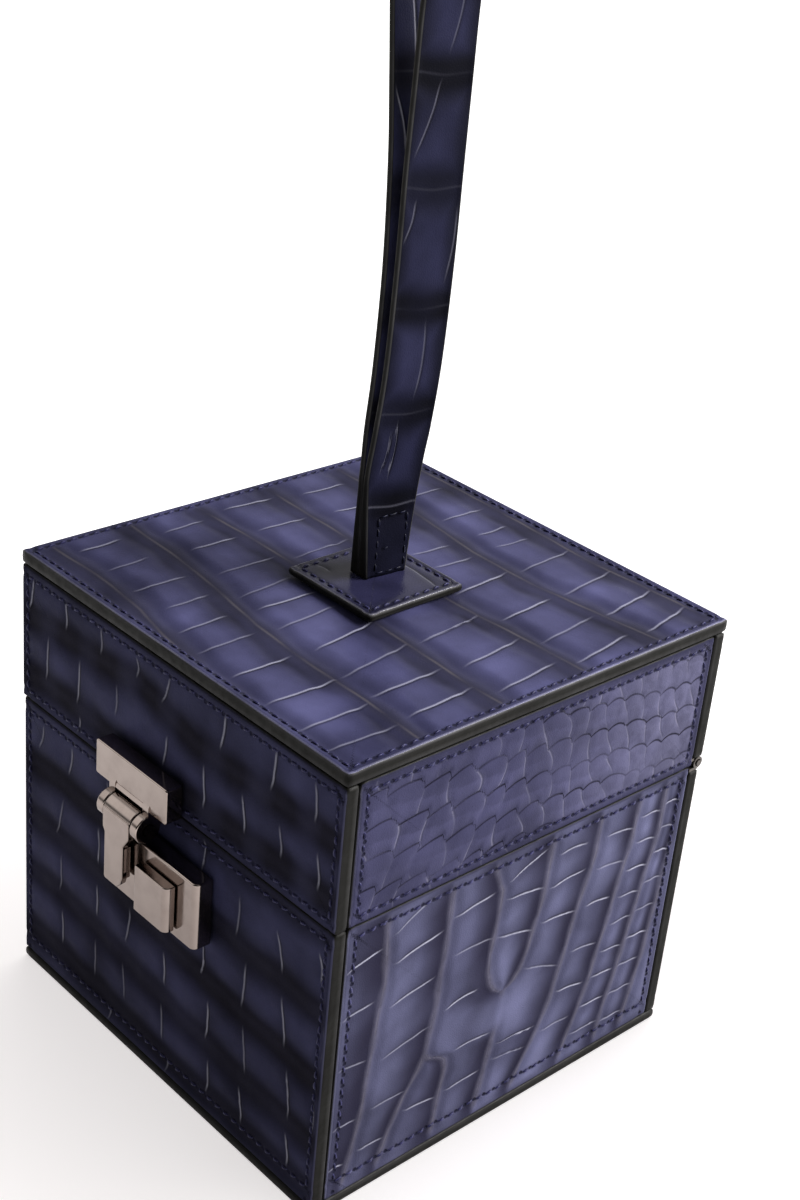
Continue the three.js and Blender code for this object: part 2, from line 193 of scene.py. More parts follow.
def hide_finish(
    name, crest, shade, ridge, crease, furrow, gloss, shine,
    crease_width=0.4, furrow_share=0.75, tooth=0.00009,
):
    # Dyed hide: the colours of a scale's crest and of its sides, darkened with dark dye and painted shade,
    # of bare ridges, and of the two kinds of pressed line, then its roughness, its specular level and how
    # deep its grain is.
    finish, tree, shader = new_finish(name, specular=shine)
    grain = use_group(tree, hide_grain, {"Pores": PORE_SCALE})
    across, along, seam = (marked(tree, label, "Vector") for label in ("crease", "furrow", "seam"))
    dye_and_shade_share, raised, rubbed_and_lit = (marked(tree, label, "Fac") for label in ("dye_and_shade", "ridge", "rub_and_highlight"))
    cut = use_group(tree, pressed_line, {"Count": across, "Width": crease_width})
    edge = use_group(tree, pressed_line, {"Count": along, "Width": crease_width * FURROW_WIDER})
    hole = use_group(tree, awl_holes, {"Seam": seam, "Pitch": STITCH_PITCH})["Hole"]
    cloudy = ramp(tree, grain["Cloud"], 0.3, 0.7, 0.62, 1.38, "LINEAR")
    crested = place_node(tree, "ShaderNodeVectorMath", {0: crest, 1: cloudy}, operation="MULTIPLY")
    shaded = blend_colour(tree, dye_and_shade_share, crested.outputs[0], shade)
    ridge_low, ridge_high = (tuple(share * part for part in ridge) for share in (0.85, 1.15))
    wrinkled = blend_colour(tree, grain["Wrinkle"], ridge_low, ridge_high)
    ridged = blend_colour(tree, raised, shaded, wrinkled)
    edged = blend_colour(tree, times(tree, edge["Line"], furrow_share), ridged, furrow)
    # A painted shadow beside each crease, then the crease's pale line: a worn fold with a painted
    # highlight.
    crease_shadow_painted = blend_colour(tree, times(tree, cut["Shadow"], 0.8), edged, shade)
    lined = blend_colour(tree, times(tree, cut["Line"], 0.85), crease_shadow_painted, crease)
    # Rubbed rims are lightened: wear, and along the lid top's rim a painted highlight.
    worn_and_lit = blend_colour(tree, times(tree, rubbed_and_lit, grain["Polish"]), lined, RUB_AND_HIGHLIGHT_GREY)
    dull = ramp(tree, grain["Polish"], 0.3, 0.7, gloss - 0.07, gloss + 0.09, "LINEAR")
    low = times(tree, calc(tree, "MAXIMUM", dye_and_shade_share, raised), 0.3)
    # Awl holes are painted dark as painted shade.
    dress(tree, shader, blend_colour(tree, hole, worn_and_lit, HOLE_SHADE_COLOUR), calc(tree, "ADD", dull, low))
    grooved = times(tree, calc(tree, "MAXIMUM", cut["Line"], edge["Line"]), -1.2)
    pitted = calc(tree, "ADD", grooved, times(tree, hole, -3.0))
    folds = times(tree, times(tree, raised, grain["Wrinkle"]), 0.22)
    grained = calc(tree, "ADD", grain["Height"], folds)
    raise_normal(tree, shader, calc(tree, "ADD", grained, pitted), tooth)
    return finish


# A darker copy of the hide, painted shade, made for the front and also used on the back, the lid's front
# and back, and the base.
croc_bands_shaded_copy = hide_finish(
    "croc_bands_shaded_copy",
    crest=(0.0242, 0.0246, 0.054),
    shade=(0.0041, 0.0037, 0.0057),
    ridge=(0.022, 0.0203, 0.0265),
    crease=(0.18, 0.18, 0.22),
    furrow=(0.055, 0.051, 0.060),
    gloss=0.38,
    shine=0.01,
    crease_width=0.5,
)

edge_paint, paint, paint_shader = new_finish("edge_paint", specular=0.05)
paint_at = own_place(paint)
paint_skin = noise(paint, paint_at, 420.0, 4.0)
paint_drag = noise(paint, paint_at, 90.0, 2.0)
# The paint is lightened where rubbed: wear, and along the lid top's rim a painted highlight.
paint_rub_and_highlight = times(paint, marked(paint, "rub_and_highlight", "Fac"), ramp(paint, paint_drag, 0.2, 0.8, 0.35, 1.0))
paint_colour = blend_colour(paint, paint_drag, (0.002, 0.0019, 0.0015), (0.005, 0.0048, 0.004))
paint_worn_and_lit = blend_colour(paint, paint_rub_and_highlight, paint_colour, (0.05, 0.049, 0.051))
dress(paint, paint_shader, paint_worn_and_lit, ramp(paint, paint_skin, 0.3, 0.7, 0.38, 0.56))
raise_normal(paint, paint_shader, paint_skin, 0.00012, 0.7)

lining, suede, suede_shader = new_finish("suede_lining", specular=0.2)
suede_at = own_place(suede)
nap = noise(suede, suede_at, 1400.0, 3.0)
brushed = ramp(suede, noise(suede, suede_at, 38.0, 5.0), 0.35, 0.65)
suede_colour = blend_colour(suede, brushed, (0.034, 0.033, 0.060), (0.060, 0.058, 0.095))
suede_nap = blend_colour(suede, times(suede, nap, 0.5), suede_colour, (0.02, 0.02, 0.04))
dress(suede, suede_shader, suede_nap, ramp(suede, nap, 0.2, 0.8, 0.82, 0.98))
suede_shader.inputs["Sheen Weight"].default_value = 0.25
raise_normal(suede, suede_shader, nap, 0.00025)


def ripple(first, second, seed, wave):
    # A smooth wander between about -1 and 1, the same on every run.
    draw = np.random.default_rng(seed)
    total = np.zeros(np.shape(first))
    for strength in (1.0, 0.7, 0.5, 0.35):
        turn = draw.uniform(0, math.tau)
        shift = draw.uniform(0, math.tau)
        stretch = math.tau / (wave * draw.uniform(0.55, 1.5))
        total += strength * np.sin((first * math.cos(turn) + second * math.sin(turn)) * stretch + shift)
    return total / 1.8


def ease(value):
    value = np.clip(value, 0.0, 1.0)
    return value * value * (3 - 2 * value)


def hump(off, width):
    return np.exp(-((off / width) ** 2))


def along_line(line, at):
    return np.interp(at, *zip(*line))


def pick(layers, chosen):
    return np.take_along_axis(layers, chosen[None], 0)[0]


def banded_hide(run, rise, furrows, creases, look, seed):
    # Rows of belly scales. run goes along the rows and rise across them, in millimetres.
    # Each row swells between two furrows, is painted darker towards them with dark dye and painted shade,
    # and may have a low bare ridge in each. The look: depth, half width and strength of the ridge,
    # then how far and how strongly the painted shade reaches above and below a furrow, and the strength
    # of its pale line.
    depth, ridge, bare_share, low_slope, low_share, high_slope, high_share, lip = look
    end_row, end_gap = 22.0, 14.0
    count = len(furrows)
    lines = np.sort([along_line(line, run) for line in furrows], axis=0)
    lines = lines + 0.4 * ripple(run, rise * 0, seed, 26.0)
    row = (rise[None] >= lines).sum(axis=0)
    below = pick(lines, np.clip(row - 1, 0, count - 1))
    above = pick(lines, np.clip(row, 0, count - 1))
    below = np.where(row == 0, above - end_row, below)
    above = np.where(row == count, below + end_row, above)
    up = rise - below
    down = above - rise
    width = ridge * (1 + 0.25 * ripple(run, rise, seed + 4, 12.0))
    dip_low = 1 - ease((up - width) / min(low_slope, 5.0))
    dip_high = 1 - ease((down - width) / min(high_slope, 5.5))
    most = 0.62 * (up + down)
    # The darkening towards each furrow: dark dye and painted shade.
    shade_low = low_share * (1 - ease((up - 0.5 * width) / np.minimum(low_slope, most)))
    shade_high = high_share * (1 - ease((down - 0.5 * width) / np.minimum(high_slope, most)))
    patchy = np.clip(0.9 + 0.22 * ripple(run, rise * 0.5, seed + 5, 24.0), 0.5, 1.0)
    dye_and_shade_share = np.maximum(shade_low, shade_high) * patchy
    bare = bare_share * (1 - ease((np.minimum(up, down) - 0.1 * width) / (1.6 * width)))
    lift = -depth * np.maximum(dip_low, dip_high) + 0.45 * depth * bare
    lift = lift + 0.05 * ripple(run, rise, seed + 1, 9.0)
    shown = np.clip(0.6 + 0.5 * ripple(run, rise, seed + 2, 14.0), 0.0, 1.0)
    furrow = np.stack([row + up / (up + down), up + down, lip * shown], -1)
    crease = np.zeros(run.shape + (3,))
    crease[..., 1] = 12.0
    ends = np.array(creases, float)
    middles = (ends[:, :2] + ends[:, 2:]) / 2
    home = (middles[:, 1] >= np.array([along_line(line, middles[:, 0]) for line in furrows])).sum(axis=0)
    strength = np.random.default_rng(seed + 3).uniform(0.42, 1.0, len(creases))
    for level in range(count + 1):
        here = row == level
        own = np.array([i for i in np.argsort(middles[:, 0]) if home[i] == level])
        if not len(own) or not here.any():
            continue
        a0, b0, a1, b1 = ends[own].T[:, :, None]
        share = (rise[here] - b0) / (b1 - b0)
        at = a0 + (a1 - a0) * share + 0.5 * np.sin(np.pi * np.clip(share, 0, 1))
        place = run[here]
        before = (at <= place).sum(axis=0) - 1
        last = len(own) - 1
        left = pick(at, np.clip(before, 0, last))
        right = pick(at, np.clip(before + 1, 0, last))
        left = np.where(before < 0, right - end_gap, left)
        right = np.where(before >= last, left + end_gap, right)
        gap = np.maximum(right - left, 0.5)
        number = before + (place - left) / gap
        whole = np.round(number)
        nearest = np.clip(whole, 0, last).astype(int)
        reach = pick(share, nearest)
        fade = ease(np.minimum(reach + 0.14, 1.14 - reach) / 0.36)
        force = fade * strength[own[nearest]] * (nearest == whole)
        crease[here] = np.stack([number, gap, force], -1)
        off = np.abs(number - whole) * gap
        lift[here] -= 0.15 * force * hump(off, 0.8)
        # Each cell gets a random tone, and is painted darker close to its crease as painted shade that
        # makes it look domed.
        tones = np.random.default_rng((seed, level)).uniform(0.0, 0.28, last + 2)
        tone = np.interp(number, np.arange(last + 2) - 0.5, tones)
        crease_shade = 0.28 * force * hump(off, 2.4)
        dye_and_shade_share[here] = 1 - (1 - dye_and_shade_share[here]) * (1 - tone) * (1 - crease_shade)
    return lift, dye_and_shade_share * (1 - bare), bare, crease, furrow


def sewn_frame(across, up, size, sewn):
    # The nearest row of stitching: holes counted along it, distance from it, and that it is there.
    left, right, low, high = sewn
    width, height = size
    wide, tall = width - left - right, height - low - high
    x, y = across + width / 2 - left, up + height / 2 - low
    offs = np.stack([y, x - wide, y - tall, x])
    lengths = (wide, tall, wide, tall)
    counts = np.stack([p / l * round(l / STITCH_PITCH) for p, l in zip((x, y, x, y), lengths)])
    near = np.abs(offs).argmin(axis=0)
    return np.stack([pick(counts, near), pick(offs, near), np.ones(near.shape)], -1)


def set_out(name, data):
    piece = bpy.data.objects.new(name, data)
    bpy.context.scene.collection.objects.link(piece)
    return piece


def mesh_piece(name, points, quads, polygons, finishes, slots, smooth):
    mesh = bpy.data.meshes.new(name)
    loops = np.concatenate([quads.ravel()] + [np.asarray(p) for p in polygons]).astype(np.int32)
    sizes = np.concatenate([np.full(len(quads), 4), [len(p) for p in polygons]]).astype(np.int32)
    mesh.vertices.add(len(points))
    mesh.vertices.foreach_set("co", (points * MM).astype(np.float32).ravel())
    mesh.loops.add(len(loops))
    mesh.loops.foreach_set("vertex_index", loops)
    mesh.polygons.add(len(sizes))
    mesh.polygons.foreach_set("loop_start", (np.cumsum(sizes) - sizes).astype(np.int32))
    mesh.polygons.foreach_set("material_index", np.asarray(slots, np.int32))
    mesh.polygons.foreach_set("use_smooth", np.asarray(smooth, bool))
    for finish in finishes:
        mesh.materials.append(finish)
    mesh.update(calc_edges=True)
    return set_out(name, mesh)


def mark(piece, name, values):
    values = np.asarray(values, np.float32)
    kind, part = ("FLOAT_VECTOR", "vector") if values.ndim == 2 else ("FLOAT", "value")
    piece.data.attributes.new(name, kind, "POINT").data.foreach_set(part, values.ravel())


def covered_board(node, facing, skin, hide, step, sewn=None):
    # One board of the case, in place of its CAD node: a relief of hide on its outer face,
    # a rounded painted edge all round, and lining on its inner face.
    low, high = (np.array(corner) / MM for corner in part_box(node))
    side, up, out = (np.array(axis, float) for axis in FACES[facing])
    width, height, thick = (abs((high - low) @ axis) for axis in (side, up, out))
    middle = (low + high) / 2 + out * thick / 2
    columns = int(round((width - 2 * EDGE_ROUND) / step))
    rows = int(round((height - 2 * EDGE_ROUND) / step))
    us = np.linspace(EDGE_ROUND - width / 2, width / 2 - EDGE_ROUND, columns + 1)
    vs = np.linspace(EDGE_ROUND - height / 2, height / 2 - EDGE_ROUND, rows + 1)
    u, v = np.meshgrid(us, vs)

    def relief(u, v):
        lift, dye_and_shade_share, bare, crease, furrow = skin(u + middle @ side, v + middle @ up)
        inset = np.minimum(width / 2 - np.abs(u), height / 2 - np.abs(v)) - EDGE_ROUND
        flat = ease(inset / RIM_FLAT)
        # The hide is painted darker towards its edge as painted shade.
        dye_and_shade_share = np.maximum(dye_and_shade_share * (0.9 + 0.1 * flat), 0.5 * (1 - ease(inset / RIM_SHADE)))
        lift, bare = lift * flat, bare * flat
        crease[..., 2] *= 0.3 + 0.7 * flat
        furrow[..., 2] *= flat
        seam = np.zeros(crease.shape) + NO_SEAM
        if sewn:
            seam = sewn_frame(u, v, (width, height), sewn)
            trough = hump(seam[..., 1], SEAM_WIDTH)
            lift = lift * (1 - 0.6 * trough) - 0.22 * trough
            # The seam's trough is painted darker as painted shade.
            dye_and_shade_share = np.maximum(dye_and_shade_share, 0.4 * trough)
        return lift, dye_and_shade_share, bare, crease, furrow, seam

    lift, dye_and_shade_share, bare, crease, furrow, seam = relief(u, v)
    number = np.arange(u.size).reshape(u.shape)
    rim = np.concatenate([number[0, :-1], number[:-1, -1], number[-1, :0:-1], number[:0:-1, 0]])
    rim_u, rim_v, rim_w = u.ravel()[rim], v.ravel()[rim], lift.ravel()[rim]
    out_u = np.sign(rim_u) * (np.abs(rim_u) > us[-1] - 1e-6)
    out_v = np.sign(rim_v) * (np.abs(rim_v) > vs[-1] - 1e-6)
    corner = np.where(out_u * out_v != 0, 0.78, 1.0)
    # The edge's section, ring by ring: how far out and how deep in edge radii, and how rubbed.
    # The rub is wear, and on the lid top it is raised into a painted highlight along the rim.
    # A wall's level edges lie in the dark of a joint, so they get painted shade and hardly any rub.
    deep = thick / EDGE_ROUND
    rim_rub_and_highlight = 0.8 if facing == "top" else 0.3
    in_joint = np.abs(out_v) * (facing != "top")
    turns = np.radians([22.5, 45, 67.5, 90])
    profile = [(math.sin(t), 1 - math.cos(t), rim_rub_and_highlight * r) for t, r in zip(turns, (0.6, 1.2, 0.7, 0.25))]
    profile += [(1.02, 1.25, 0.06), (1.08, deep / 2, 0.0)]
    profile += [(math.cos(t), deep - 1 + math.sin(t), 0.25) for t in np.radians([0, 30, 60, 90])]
    rings = []
    rubs_and_highlights = [np.zeros(u.size)]
    for reach, drop, worn_and_lit in profile:
        ring_u = rim_u + out_u * corner * reach * EDGE_ROUND
        ring_v = rim_v + out_v * corner * reach * EDGE_ROUND
        ring_w = rim_w * max(0.0, 1 - drop) - drop * EDGE_ROUND
        rings.append(np.stack([ring_u, ring_v, ring_w], -1))
        rubs_and_highlights.append(worn_and_lit * (1 - 0.85 * in_joint))
    local = np.concatenate([np.stack([u.ravel(), v.ravel(), lift.ravel()], -1)] + rings)
    points = middle + local[:, :1] * side + local[:, 1:2] * up + local[:, 2:] * out
    face = np.stack([number[:-1, :-1], number[:-1, 1:], number[1:, 1:], number[1:, :-1]], -1)
    face = face.reshape(-1, 4)
    loops = [rim] + [u.size + i * len(rim) + np.arange(len(rim)) for i in range(len(rings))]
    bands = [np.stack([a, b, np.roll(b, -1), np.roll(a, -1)], -1) for a, b in zip(loops[:-1], loops[1:])]
    quads = np.concatenate([face] + bands)
    hide_count = len(face) + 2 * len(rim)
    slots = [0] * hide_count + [1] * (len(quads) - hide_count) + [2]
    smooth = [True] * len(quads) + [False]
    finishes = [hide, edge_paint, lining]
    piece = mesh_piece(node + "_covered", points, quads, [loops[-1][::-1]], finishes, slots, smooth)
    extra = len(points) - u.size
    for label, inner, outer in (
        ("dye_and_shade", dye_and_shade_share, np.tile(0.8 * in_joint, len(rings))),
        ("ridge", bare, np.zeros(extra)),
        ("seam", seam, np.tile(NO_SEAM, (extra, 1))),
        ("crease", crease, np.zeros((extra, 3))),
        ("furrow", furrow, np.zeros((extra, 3))),
    ):
        mark(piece, label, np.concatenate([inner.reshape(u.size, *inner.shape[2:]), outer]))
    mark(piece, "rub_and_highlight", np.concatenate(rubs_and_highlights))
    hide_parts(node)

    def surface(u, v):
        return middle + np.outer(u, side) + np.outer(v, up) + np.outer(relief(u, v)[0], out)

    return piece, surface, out, (width, height)


def grown_hide(run_low, run_high, rise_low, rise_high, pitch, seed):
    # Rows and creases for a face of which nothing is known: evenly wandering belly scales.
    draw = np.random.default_rng(seed)
    stations = np.linspace(run_low, run_high, 7)
    furrows = []
    level = rise_low + draw.uniform(0.3, 0.8) * pitch
    while level < rise_high:
        furrows.append([(a, level + draw.uniform(-1.2, 1.2)) for a in stations])
        level += pitch * draw.uniform(0.88, 1.12)
    middles = [rise_low] + [np.mean([p[1] for p in line]) for line in furrows] + [rise_high]
    creases = []
    for bottom, top in zip(middles[:-1], middles[1:]):
        if top - bottom < pitch * 0.45:
            continue
        place = run_low + draw.uniform(4, 12)
        while place < run_high:
            lean = draw.uniform(-1.2, 1.2)
            reach = draw.uniform(0.18, 0.3) * (top - bottom)
            creases.append((place - lean, bottom + reach, place + lean, top - reach * 0.7))
            place += draw.uniform(10.5, 15.0)
    return furrows, creases


BASE_LOOK = (0.3, 2.0, 0.15, 7.0, 1.0, 7.0, 1.0, 0.0)
base_rows = grown_hide(-60, 60, -60, 60, 20.0, 11)


def base_skin(across, up):
    lift, *others = banded_hide(across, up, *base_rows, BASE_LOOK, 21)
    return np.minimum(lift, 0.0), *others


base_board = covered_board("base_panel", "under", base_skin, croc_bands_shaded_copy, step=1.0)[0]
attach(base_board, "case")

# Body walls
# Four boards round the base, glued edge to edge: front and back run full width, the sides stand
# between them. Each is hide outside, lining inside, with a row of stitching near all its edges.
STITCH_SHARE = 0.68
BODY_SEWN = (2.5, 2.5, 4.6, 2.9)


def thread_finish(name, dark, light, glint):
    finish, tree, shader = new_finish(name, specular=0.08)
    at = own_place(tree)
    twist = {"Vector": at, "Scale": 700.0, "Distortion": 4.0}
    ply = place_node(tree, "ShaderNodeTexWave", twist).outputs["Fac"]
    # Pale patches along the thread are a painted highlight in place of glints.
    glint_share = ramp(tree, noise(tree, at, 120.0, 2.0), 0.58, 0.75)
    thread_with_glints = blend_colour(tree, glint_share, blend_colour(tree, ply, dark, light), glint)
    dress(tree, shader, thread_with_glints, ramp(tree, ply, 0.0, 1.0, 0.5, 0.32))
    raise_normal(tree, shader, ply, 0.00006)
    return finish


thread = thread_finish(
    "waxed_thread", (0.009, 0.0088, 0.028), (0.021, 0.0205, 0.062), (0.036, 0.036, 0.084)
)


def stitches(name, starts, ends, outs, yarn=thread, radius=0.36, lean=0.16):
    # One stitch for each pair of points: a short twisted strand that dives into the hide at both ends.
    along = ends - starts
    length = np.linalg.norm(along, axis=1, keepdims=True)
    along = along / length
    wide = np.cross(outs, along)
    stations = np.array([0.0, 0.06, 0.26, 0.5, 0.74, 0.94, 1.0])
    swell = np.array([0.15, 0.6, 0.95, 1.0, 0.95, 0.6, 0.15])
    bulge = np.array([-0.55, -0.2, 0.42, 0.6, 0.42, -0.2, -0.55])
    sides = 6
    points = []
    for at, thick, rise in zip(stations, swell, bulge):
        centre = starts + along * length * at + outs * radius * rise + wide * length * lean * (at - 0.5)
        for angle in np.arange(sides) * math.tau / sides:
            ring = wide * math.cos(angle) + outs * math.sin(angle) * 0.8
            points.append(centre + ring * radius * thick)
    points = np.stack(points, 1)
    per = points.shape[1]
    firsts = np.arange(len(points)) * per
    ring = np.arange(per - sides).reshape(-1, sides)
    after = np.roll(ring, -1, 1)
    cell = np.stack([ring + sides, after + sides, after, ring], -1).reshape(-1, 4)
    quads = (cell[None] + firsts[:, None, None]).reshape(-1, 4)
    end = np.arange(sides)
    caps = [first + cap for first in firsts for cap in (end, per - 1 - end)]
    total = len(quads) + len(caps)
    return mesh_piece(name, points.reshape(-1, 3), quads, caps, [yarn], [0] * total, [True] * total)


def sew_round(name, surface, out, size, sewn):
    # Stitches along the four insets of a board, evenly spaced between the corners.
    half_width, half_height = size[0] / 2, size[1] / 2
    left, right, low, high = sewn
    x0, x1 = left - half_width, half_width - right
    y0, y1 = low - half_height, half_height - high
    corners = np.array([(x0, y0), (x1, y0), (x1, y1), (x0, y1)])
    starts, ends = [], []
    for a, b in zip(corners, np.roll(corners, -1, 0)):
        count = int(round(np.linalg.norm(b - a) / STITCH_PITCH))
        for i in range(count):
            starts.append(a + (b - a) * (i + 0.5 - STITCH_SHARE / 2) / count)
            ends.append(a + (b - a) * (i + 0.5 + STITCH_SHARE / 2) / count)
    outs = np.tile(out, (len(starts), 1))
    return stitches(name, surface(*np.transpose(starts)), surface(*np.transpose(ends)), outs)


def sewn_board(node, facing, skin, hide, step, sewn, body):
    board, surface, out, size = covered_board(node, facing, skin, hide, step, sewn)
    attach(board, body)
    stitching = sew_round(node + "_stitching", surface, out, size, sewn)
    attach(stitching, body)


def belly(*pattern):
    return lambda across, up: banded_hide(across, up, *pattern)


# Furrows are lines of (run, rise) points, as banded_hide takes them. A crease is one short line across
# a row of scales: run and rise of its lower end, then run and rise of its upper end.
front_rows = [
    [(-60, 12), (-30, 11), (0, 8.5), (30, 8), (60, 7)],
    [(-60, 30), (-30, 29), (0, 25.5), (30, 22), (60, 21)],
    [(-60, 46.5), (-30, 46), (0, 43), (30, 40.5), (60, 39)],
    [(-60, 63.5), (-30, 63), (0, 61), (30, 58.5), (60, 57.5)],
]
front_creases = [
    (-53, 69, -51, 75.5), (-40, 68, -38.5, 75.5), (-24, 66, -23.5, 74), (14, 71, 14.5, 79),
    (27, 61, 28, 71), (43.3, 61, 41.5, 70), (56.6, 66.5, 55.5, 73), (-45.5, 47.5, -42.5, 58),
    (-27.3, 49, -27.2, 58), (15, 42, 15.8, 51), (30.3, 43, 31.1, 54), (45.7, 42, 44.2, 53),
    (58.7, 46, 58.7, 55), (-44, 31, -43, 41), (-27.4, 33, -27.4, 41), (-14.6, 33, -13.8, 42),
    (1.2, 30, 0.6, 38), (17.8, 25, 18.5, 35), (32.8, 25, 31.4, 36), (48.8, 23, 47.7, 34.5),
    (57.4, 25, 57, 33), (-42.6, 15, -42.4, 24), (-28, 14, -27.6, 24), (-14.8, 15, -16, 24),
    (1, 13, 0.2, 22), (19, 9, 19.5, 18), (32.4, 9.5, 31.2, 18), (49.6, 9, 48.8, 17),
    (-21.5, 3.5, -20.8, 8), (3, 3.5, 3.4, 8),
]
side_rows = [
    [(5, -50.5), (14, -48.5), (28, -46.5), (40, -45), (50, -44), (60, -43), (76, -43.6)],
    [
        (5, -40), (12, -37.5), (22, -33.5), (28, -29.5), (33, -27.2), (45, -25.6), (60, -24.8),
        (77, -24.2),
    ],
    [
        (5, -22.4), (10, -21.8), (24, -20.6), (27, -21.2), (28.7, -23.4), (29.8, -26.4), (31.5, -27.6),
        (45, -25.2), (77, -23.8),
    ],
    [
        (5, -8.2), (15, -6.4), (27, -5), (38.8, -3.2), (39.4, -4.6), (40.4, -6), (43, -7.8), (47, -8.9),
        (52, -8.9), (70, -7.6), (77, -10.5),
    ],
    [
        (5, -7.8), (15, -6), (27, -4.6), (38.8, -2.8), (39.4, -1.2), (40.4, 0.4), (43, 2.4), (48, 4.2),
        (58, 6.4), (70, 7.8), (77, 8.4),
    ],
    [(5, 4.5), (10, 7), (18, 11), (28, 15), (40, 18), (50, 20), (58, 22), (68, 24.4), (77, 25)],
    [(5, 22), (14, 25), (25, 28.5), (35, 31), (45, 33.5), (55, 35.2), (65, 37.4), (77, 39)],
    [(5, 35.5), (15, 37.2), (25, 39.5), (35, 42), (45, 44), (55, 46), (65, 48), (77, 48.6)],
    [(5, 45.6), (15, 47.6), (28, 50), (40, 52), (50, 53), (62, 54.2), (77, 55.2)],
]
side_creases = [
    (68, -56, 70, -45.5), (55, -56, 56, -46.5), (41, -56, 39.8, -47), (23.5, -56, 23.2, -48.5),
    (11.7, -56, 11.2, -51), (73, -41, 78, -30), (64.5, -39.5, 66.5, -27), (52.5, -40, 54, -28),
    (38, -41, 39.6, -28), (24.2, -43, 23.5, -33.5), (13.2, -46, 12.5, -39), (17.6, -32, 16, -23),
    (69, -22, 70.2, -11), (58, -21, 57, -9.5), (42.8, -22, 43.7, -13), (28.2, -17, 27.4, -6.5),
    (16.5, -18.5, 16.6, -8.5), (72, -5, 75.5, 5.5), (66.6, -5, 64.8, 6), (56.2, -6.5, 53.4, 4),
    (72.6, 11.5, 72, 20), (63.5, 10, 64, 20.5), (54, 8.5, 52.4, 19), (42, 4.5, 37.6, 15.5),
    (22.2, -2, 21, 10), (18, -3, 16, 7.5), (71, 28, 69.4, 37), (62.2, 26, 60.4, 35.5),
    (52.2, 24, 51, 32), (39.6, 21, 38, 29.5), (28.6, 18, 27, 26.5), (18.2, 14, 18, 23),
    (71.5, 40.5, 70.8, 47), (64.2, 40, 63, 46.5), (56.6, 38, 55.4, 45), (49.2, 36.5, 48, 43.5),
    (41.5, 35, 41, 42), (33.8, 33, 32.6, 40), (26.8, 31, 26, 38), (18.5, 28.5, 18, 36),
    (11, 26, 10.5, 35), (72, 49.5, 71.5, 54), (65, 49, 64, 53.5), (58, 48, 57, 53), (49.5, 46, 49, 52),
    (41.5, 44.5, 41, 51), (33.6, 43, 32.6, 50), (25.6, 41, 25, 48), (17.5, 39, 17, 47),
    (9.5, 37.5, 9, 45),
]
back_rows = grown_hide(-60, 60, 3, 78, 17.5, 31)
left_rows = grown_hide(3, 80, -56, 56, 13.5, 41)
FRONT_LOOK = (0.45, 2.0, 0.12, 7.0, 1.0, 7.5, 1.0, 0.0)
SIDE_LOOK = (0.5, 0.95, 0.6, 2.6, 0.25, 17.0, 1.0, 0.5)

# A lighter copy of the hide for the side boards, painted light, with wide painted shade on one side of
# each row.
croc_side_lit_copy = hide_finish(
    "croc_side_lit_copy",
    crest=(0.058, 0.0595, 0.107),
    shade=(0.0095, 0.0088, 0.0185),
    ridge=(0.044, 0.0405, 0.055),
    crease=(0.24, 0.24, 0.30),
    furrow=(0.075, 0.070, 0.088),
    gloss=0.38,
    shine=0.02,
    crease_width=0.42,
)


def side_skin(across, up):
    # Below the tongue-shaped scale two rows run together, so the furrow between them is left open.
    lift, dye_and_shade_share, bare, crease, furrow = banded_hide(up, across, side_rows, side_creases, SIDE_LOOK, 61)
    open_row = np.exp(-(((up - 32.5) / 5.6) ** 4) - ((across + 4.5) / 9.0) ** 4)
    furrow[..., 2] *= 1 - open_row
    # The painted shade is widened, and the face is painted a little darker towards its front edge as
    # painted shade.
    dye_and_shade_share = 1 - (1 - dye_and_shade_share) ** 1.7 * (0.85 + 0.15 * ease((across + 60) / 90))
    return lift * (1 - 0.8 * open_row), dye_and_shade_share * (1 - 0.6 * open_row), bare * (1 - open_row), crease, furrow


def left_skin(across, up):
    lift, dye_and_shade_share, *others = banded_hide(up, across, *left_rows, SIDE_LOOK, 81)
    # The painted shade is widened as on the right board.
    return lift, 1 - (1 - dye_and_shade_share) ** 1.7, *others


for node, facing, skin, hide, step in (
    ("body_front", "front", belly(front_rows, front_creases, FRONT_LOOK, 51), croc_bands_shaded_copy, 0.6),
    ("body_back", "back", belly(*back_rows, FRONT_LOOK, 71), croc_bands_shaded_copy, 0.7),
    ("body_left", "left", left_skin, croc_side_lit_copy, 0.7),
    ("body_right", "right", side_skin, croc_side_lit_copy, 0.6),
):
    sewn_board(node, facing, skin, hide, step, sewn=BODY_SEWN, body="case")

# Lid walls
# Four lower boards of the same make, standing a hair proud of the body below them.
# The right and left ones are cut from the flank, where the scales are small and round.
LID_SEWN = (2.4, 2.4, 2.4, 2.5)
SCALE_SIZE = 7.6
SCALE_TAPER = 0.03
lid_rows = [
    [(-60, 88.5), (-30, 88.5), (0, 87), (30, 87.5), (60, 88)],
    [
        (-60, 104.5), (-40, 105.5), (-22, 106.8), (-12, 107.5), (-5, 106), (0, 104), (10, 102.5),
        (60, 103),
    ],
]
lid_creases = [
    (-57.5, 106, -55, 115), (-41.5, 108, -41.5, 115), (-27.2, 108, -26.8, 114.5),
    (-13, 108.5, -12.6, 113.5), (-3, 107, -0.2, 114), (18.5, 106, 20, 114.5), (36, 105, 37.4, 115),
    (50.6, 105, 50.4, 113.5), (-50, 90.5, -49, 101), (-36.6, 90.5, -35.5, 101), (-20.5, 95, -20.5, 102),
    (-2, 91, -0.5, 98.5), (13.3, 88, 13, 97.5), (28, 89.5, 27, 97.5), (40.5, 90, 40, 97),
    (53, 89, 52.5, 97), (-36, 82, -35.5, 86),
]
lid_back_rows = grown_hide(-60, 60, 82, 118, 17.0, 91)

